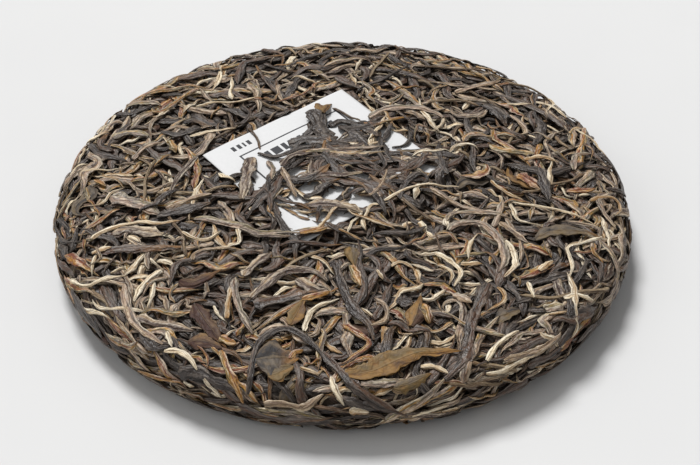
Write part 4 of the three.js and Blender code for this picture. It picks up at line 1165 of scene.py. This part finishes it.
def leaf_material(
    name, colours, pale, tip, groove, roughness, mottling=0.7, pale_share=0.5, shine=LEAF_SHINE
):
    """A leaf's material: its colour by the leaf's tone and mottling, darkened by painted shade in the
    creases, pale on its own fibres and edges, and lit by a painted highlight along the ridges.
    """
    material, tree, shader = new_material(name)
    calc = partial(math_node, tree)
    between = partial(range_node, tree)

    def mixed(share, first, colour, blend="MIX"):
        fed = {"_0": share, "_6": first, "_7": (*colour, 1)}
        return node(tree, "ShaderNodeMix", data_type="RGBA", blend_type=blend, **fed).outputs[2]

    seen = node(tree, "ShaderNodeGroup", node_tree=leaf_grain).outputs
    shade = calc("MULTIPLY_ADD", calc("SUBTRACT", seen["Mottle"], 0.5), mottling * 2, seen["Tone"])
    shade = calc("MULTIPLY_ADD", calc("SUBTRACT", seen["Face"], 0.5), mottling * 0.4, shade)
    colour = colour_ramp(tree, shade, colours)
    colour = mixed(calc("MULTIPLY", seen["Tip"], between(seen["Mottle"], 0.3, 0.6)), colour, tip)
    # Painted shade: the crease mask, together with the leaf's own dark fibres, multiplies the colour by the
    # crease shade colour.
    crease_shade_and_dark_fibres = calc("MAXIMUM", seen["Groove"], between(seen["Fibre"], 0.34, 0.47, 0.6, 0.0))
    colour = mixed(crease_shade_and_dark_fibres, colour, groove, "MULTIPLY")
    # The pale colour goes on the leaf's own pale edges and fibres, and as a painted highlight along the
    # ridges between the creases. The shaded creases get none of it.
    pale_streaks_and_highlight = between(seen["Mottle"], 0.40, 0.56, 0.0, 0.75 * pale_share + 0.15)
    pale_streaks_and_highlight = calc("MULTIPLY", seen["Edge"], pale_streaks_and_highlight)
    pale_streaks_and_highlight = calc("MAXIMUM", between(seen["Fibre"], 0.52, 0.68, 0.0, pale_share), pale_streaks_and_highlight)
    pale_streaks_and_highlight = calc("MAXIMUM", pale_streaks_and_highlight, calc("MULTIPLY", seen["Crest"], 0.55 * pale_share))
    pale_streaks_and_highlight = calc("MULTIPLY", pale_streaks_and_highlight, calc("SUBTRACT", 1.0, crease_shade_and_dark_fibres))
    relief = node(tree, "ShaderNodeBump", Strength=0.9, Distance=0.0006, Height=seen["Height"])
    feed(
        shader,
        Base_Color=mixed(pale_streaks_and_highlight, colour, pale),
        Roughness=between(seen["Fibre"], 0.3, 0.7, *roughness),
        Specular_IOR_Level=shine,
        Normal=relief.outputs["Normal"],
    )
    return material


TURN_SPREAD = (0.6, 0.8)
TURN_START = 40.0


def leaf_piece(name, kind, material, sides, crease, twist, curl=0.0):
    """Sweeps all leaves of a kind to one piece of closed meshes."""
    leaves = laid_leaves[kind]
    counts = [len(leaf["along"]) for leaf in leaves]
    starts = running_sum(counts).astype(int)
    middle = np.concatenate([leaf["middle"] for leaf in leaves]) * MM
    mesh = bpy.data.meshes.new(name)
    edges = [(v, v + 1) for first, count in zip(starts, counts) for v in range(first, first + count - 1)]
    mesh.from_pydata(middle.tolist(), edges, [])
    seeds = np.repeat([leaf["seed"] for leaf in leaves], counts)
    way = np.where(seeds > 0.5, 1, -1)
    along = np.concatenate([leaf["along"] for leaf in leaves])
    values = {
        "middle": middle,
        "sideways": np.concatenate([leaf["sideways"] for leaf in leaves]) * MM,
        "upward": np.concatenate([leaf["upward"] for leaf in leaves]) * MM,
        "along": along,
        "tone": np.repeat([leaf["tone"] for leaf in leaves], counts),
        "tip": np.concatenate([leaf["tip"] for leaf in leaves]),
        "seed": seeds,
        "turn": along * twist * way * (TURN_SPREAD[0] + TURN_SPREAD[1] * seeds) + seeds * TURN_START,
    }
    for key, value in values.items():
        data_type, field = ("FLOAT_VECTOR", "vector") if value.ndim == 2 else ("FLOAT", "value")
        attribute = mesh.attributes.new(key, data_type, "POINT")
        attribute.data.foreach_set(field, value.ravel().astype(np.float32))
    lines = add_object(name + "_lines", mesh)
    sweep = lines.modifiers.new("sweep", "NODES")
    sweep.node_group = rolled_leaf
    wanted = {"Sides": sides, "Crease": crease, "Curl": curl, "Dents": LEAF_DENTS, "Material": material}
    for item in rolled_leaf.interface.items_tree:
        if item.in_out == "INPUT" and item.name in wanted:
            sweep[item.identifier] = wanted[item.name]
    seen = lines.evaluated_get(bpy.context.evaluated_depsgraph_get())
    solid_mesh = bpy.data.meshes.new_from_object(seen)
    solid_mesh.name = name
    piece = add_object(name, solid_mesh)
    bpy.data.objects.remove(lines)
    for spare in ("middle", "sideways", "upward", "along", "seed", "around"):
        if spare in solid_mesh.attributes:
            solid_mesh.attributes.remove(solid_mesh.attributes[spare])
    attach(piece, "root")
    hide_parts("tea_cake")
    triangles = sum(len(face.vertices) - 2 for face in solid_mesh.polygons)
    print(name, len(leaves), "leaves", triangles, "triangles")


# Each leaf look below has a crease colour, which is painted shade: the leaf's colour is multiplied by it in
# the creases. Its pale colour goes on the leaf's own pale fibres and edges, and is also a painted highlight
# along the ridges between the creases.
OCHRE = (0.36, 0.170, 0.036)
CREAM = (0.60, 0.46, 0.28)
DARK_COLOURS = [
    (0.027, 0.016, 0.009),
    (0.043, 0.033, 0.029),
    (0.033, 0.024, 0.019),
    (0.084, 0.062, 0.049),
    (0.088, 0.036, 0.013),
    (0.110, 0.088, 0.075),
]
BROWN_COLOURS = [
    (0.058, 0.027, 0.014),
    (0.152, 0.110, 0.088),
    (0.340, 0.232, 0.128),
    (0.380, 0.265, 0.190),
    (0.138, 0.114, 0.096),
    (0.180, 0.135, 0.044),
    (0.430, 0.205, 0.030),
    (0.185, 0.048, 0.014),
]
PALE_COLOURS = [
    (0.37, 0.200, 0.060),
    (0.52, 0.370, 0.21),
    (0.82, 0.680, 0.46),
    (0.92, 0.830, 0.65),
    (0.46, 0.325, 0.18),
]
BROWN_LOOK = {
    "colours": BROWN_COLOURS,
    "pale": (0.85, 0.74, 0.57),
    "tip": CREAM,
    # painted shade: the colour is multiplied by this in the creases
    "groove": (0.24, 0.145, 0.085),
    "roughness": (0.35, 0.58),
}
dark_leaf = leaf_material(
    "dark rolled leaf",
    DARK_COLOURS,
    pale=(0.30, 0.25, 0.205),
    tip=OCHRE,
    # painted shade in the creases
    groove=(0.27, 0.165, 0.10),
    roughness=(0.3, 0.52),
)
brown_leaf = leaf_material("brown rolled leaf", **BROWN_LOOK, pale_share=0.65)
pale_bud = leaf_material(
    "downy pale bud",
    PALE_COLOURS,
    pale=(0.84, 0.78, 0.66),
    tip=OCHRE,
    # painted shade in the creases
    groove=(0.25, 0.155, 0.09),
    roughness=(0.46, 0.74),
    pale_share=0.6,
)
large_brown_leaf = leaf_material(
    "brown rolled leaf of its own tone", **BROWN_LOOK, mottling=0.35, pale_share=0.55
)
large_pale_bud = leaf_material(
    "pale bud of its own tone",
    PALE_COLOURS,
    pale=(0.84, 0.77, 0.64),
    tip=OCHRE,
    # painted shade in the creases
    groove=(0.25, 0.155, 0.09),
    roughness=(0.5, 0.78),
    mottling=0.6,
    pale_share=0.6,
)
ROLLED_PIECES = (
    # name, kind, material, sides of the section, depth of its creases, and its twist in radians a mm
    ("leaves_below", "under_leaf", dark_leaf, 6, 0.18, 0.3),
    ("dark_leaves", "dark_leaf", dark_leaf, 8, 0.24, 0.3),
    ("brown_leaves", "brown_leaf", brown_leaf, 8, 0.24, 0.26),
    ("pale_buds", "pale_bud", pale_bud, 8, 0.2, 0.22),
    ("leaf_shreds", "shred", brown_leaf, 6, 0.2, 0.4),
    ("leaves_of_the_back", "back_leaf", brown_leaf, 6, 0.16, 0.18),
    ("large_dark_leaves", "large_dark", dark_leaf, 14, 0.24, 0.22),
    ("large_brown_leaves", "large_brown", large_brown_leaf, 14, 0.24, 0.2),
    ("large_pale_buds", "large_pale", large_pale_bud, 12, 0.2, 0.18),
)
for rolled_piece in ROLLED_PIECES:
    leaf_piece(*rolled_piece)


# Stems: the tender stalks between two leaves, which are picked with them and roll less. They are round,
# smooth and straighter than the leaves, and the pressed leaves round them hold them.
stem_bark = leaf_material(
    "dry tea stem",
    [(0.07, 0.038, 0.02), (0.17, 0.11, 0.06), (0.36, 0.27, 0.16), (0.13, 0.075, 0.035)],
    pale=(0.5, 0.41, 0.28),
    tip=(0.20, 0.09, 0.03),
    # painted shade in the creases
    groove=(0.42, 0.33, 0.26),
    roughness=(0.35, 0.55),
    mottling=0.5,
    pale_share=0.4,
)
leaf_piece("stems", "stem", stem_bark, sides=7, crease=0.10, twist=0.2)
leaf_piece("large_stems", "large_stem", stem_bark, sides=8, crease=0.10, twist=0.2)


# Broad pieces of older leaf that were not rolled: thin, folded along the middle, with raised veins.
# The press laid them flat, and the leaves over and round them hold them.
VEIN_COLOUR = (0.24, 0.18, 0.11, 1)


def add_veins(material):
    """Adds a midrib and side veins, which stand out a little and are paler, to a blade's material."""
    tree = material.node_tree
    shader = tree.nodes["Principled BSDF"]
    calc = partial(math_node, tree)
    between = partial(range_node, tree)
    axes = node(tree, "ShaderNodeSeparateXYZ", _0=leaf_attribute(tree, "leaf_place", "Vector")).outputs
    aside = calc("ABSOLUTE", axes[1])
    side_veins = calc("SINE", calc("MULTIPLY_ADD", axes[0], 1.5, calc("MULTIPLY", aside, -4.2)))
    side_veins = between(calc("ABSOLUTE", side_veins), 0.0, 0.22, 0.3, 0.0)
    veins = calc("MAXIMUM", between(aside, 0.03, 0.12, 1.0, 0.0), side_veins)
    colour = shader.inputs["Base Color"].links[0].from_socket
    fed = {"_0": calc("MULTIPLY", veins, 0.3), "_6": colour, "_7": VEIN_COLOUR}
    feed(shader, Base_Color=node(tree, "ShaderNodeMix", data_type="RGBA", **fed).outputs[2])
    relief = shader.inputs["Normal"].links[0].from_node
    height = calc("MULTIPLY", relief.inputs["Height"].links[0].from_socket, 0.55)
    feed(relief, Height=calc("MULTIPLY_ADD", veins, 0.35, height))


BLADE_COLOURS = [
    (0.050, 0.021, 0.015),
    (0.095, 0.055, 0.034),
    (0.240, 0.130, 0.038),
    (0.140, 0.096, 0.040),
    (0.135, 0.108, 0.080),
    (0.028, 0.026, 0.027),
]
broad_blade = leaf_material(
    "broad leaf blade",
    BLADE_COLOURS,
    pale=(0.34, 0.24, 0.14),
    tip=OCHRE,
    # painted shade in the creases
    groove=(0.55, 0.46, 0.4),
    roughness=(0.5, 0.72),
    mottling=0.42,
    pale_share=0.25,
    shine=0.22,
)
add_veins(broad_blade)
leaf_piece("broad_leaves", "broad_leaf", broad_blade, sides=14, crease=0.12, twist=0.16, curl=0.9)
leaf_piece("large_blades", "large_blade", broad_blade, sides=20, crease=0.12, twist=0.12, curl=1.1)


# The floor is a plain pale table, and the light is soft: a wide lamp above and behind the cake, a weaker
# one from the left, and a bright even surrounding.
FLOOR_REACH = 3.0
FLOOR_COLOURS = ((0.60, 0.60, 0.60), (0.66, 0.66, 0.655))
floor_corners = [(FLOOR_REACH * x, FLOOR_REACH * y, 0) for x, y in ((-1, -1), (1, -1), (1, 1), (-1, 1))]
floor_mesh = bpy.data.meshes.new("floor")
floor_mesh.from_pydata(floor_corners, [], [(0, 1, 2, 3)])
floor = add_object("floor", floor_mesh)
floor_paint, floor_tree, floor_shader = new_material("pale table")
floor_noise = node(floor_tree, "ShaderNodeTexNoise", Scale=40.0, Detail=3.0).outputs["Fac"]
feed(floor_shader, Roughness=0.85, Base_Color=colour_ramp(floor_tree, floor_noise, FLOOR_COLOURS))
floor_mesh.materials.append(floor_paint)


def soft_lamp(name, place, softness, power):
    """A wide soft light from far away that shines on the cake from a place, with softness in degrees."""
    data = bpy.data.lights.new(name, "SUN")
    data.angle = math.radians(softness)
    data.energy = power
    lamp = add_object(name, data)
    back = unit(np.array(place, float))
    right = unit(np.cross([0.0, 1.0, 0.01], back))
    up = np.cross(back, right)
    lamp.matrix_world = looking(right, up, back, place)


soft_lamp("lamp_above", place=(-0.25, 0.55, 0.95), softness=20, power=3.3)
soft_lamp("lamp_left", place=(-0.9, -0.35, 0.7), softness=45, power=0.5)
world = bpy.data.worlds.new("studio")
world.use_nodes = True
feed(world.node_tree.nodes["Background"], Color=(0.94, 0.94, 0.94, 1), Strength=0.36)
bpy.context.scene.world = world
bpy.context.scene.view_settings.view_transform = "Standard"
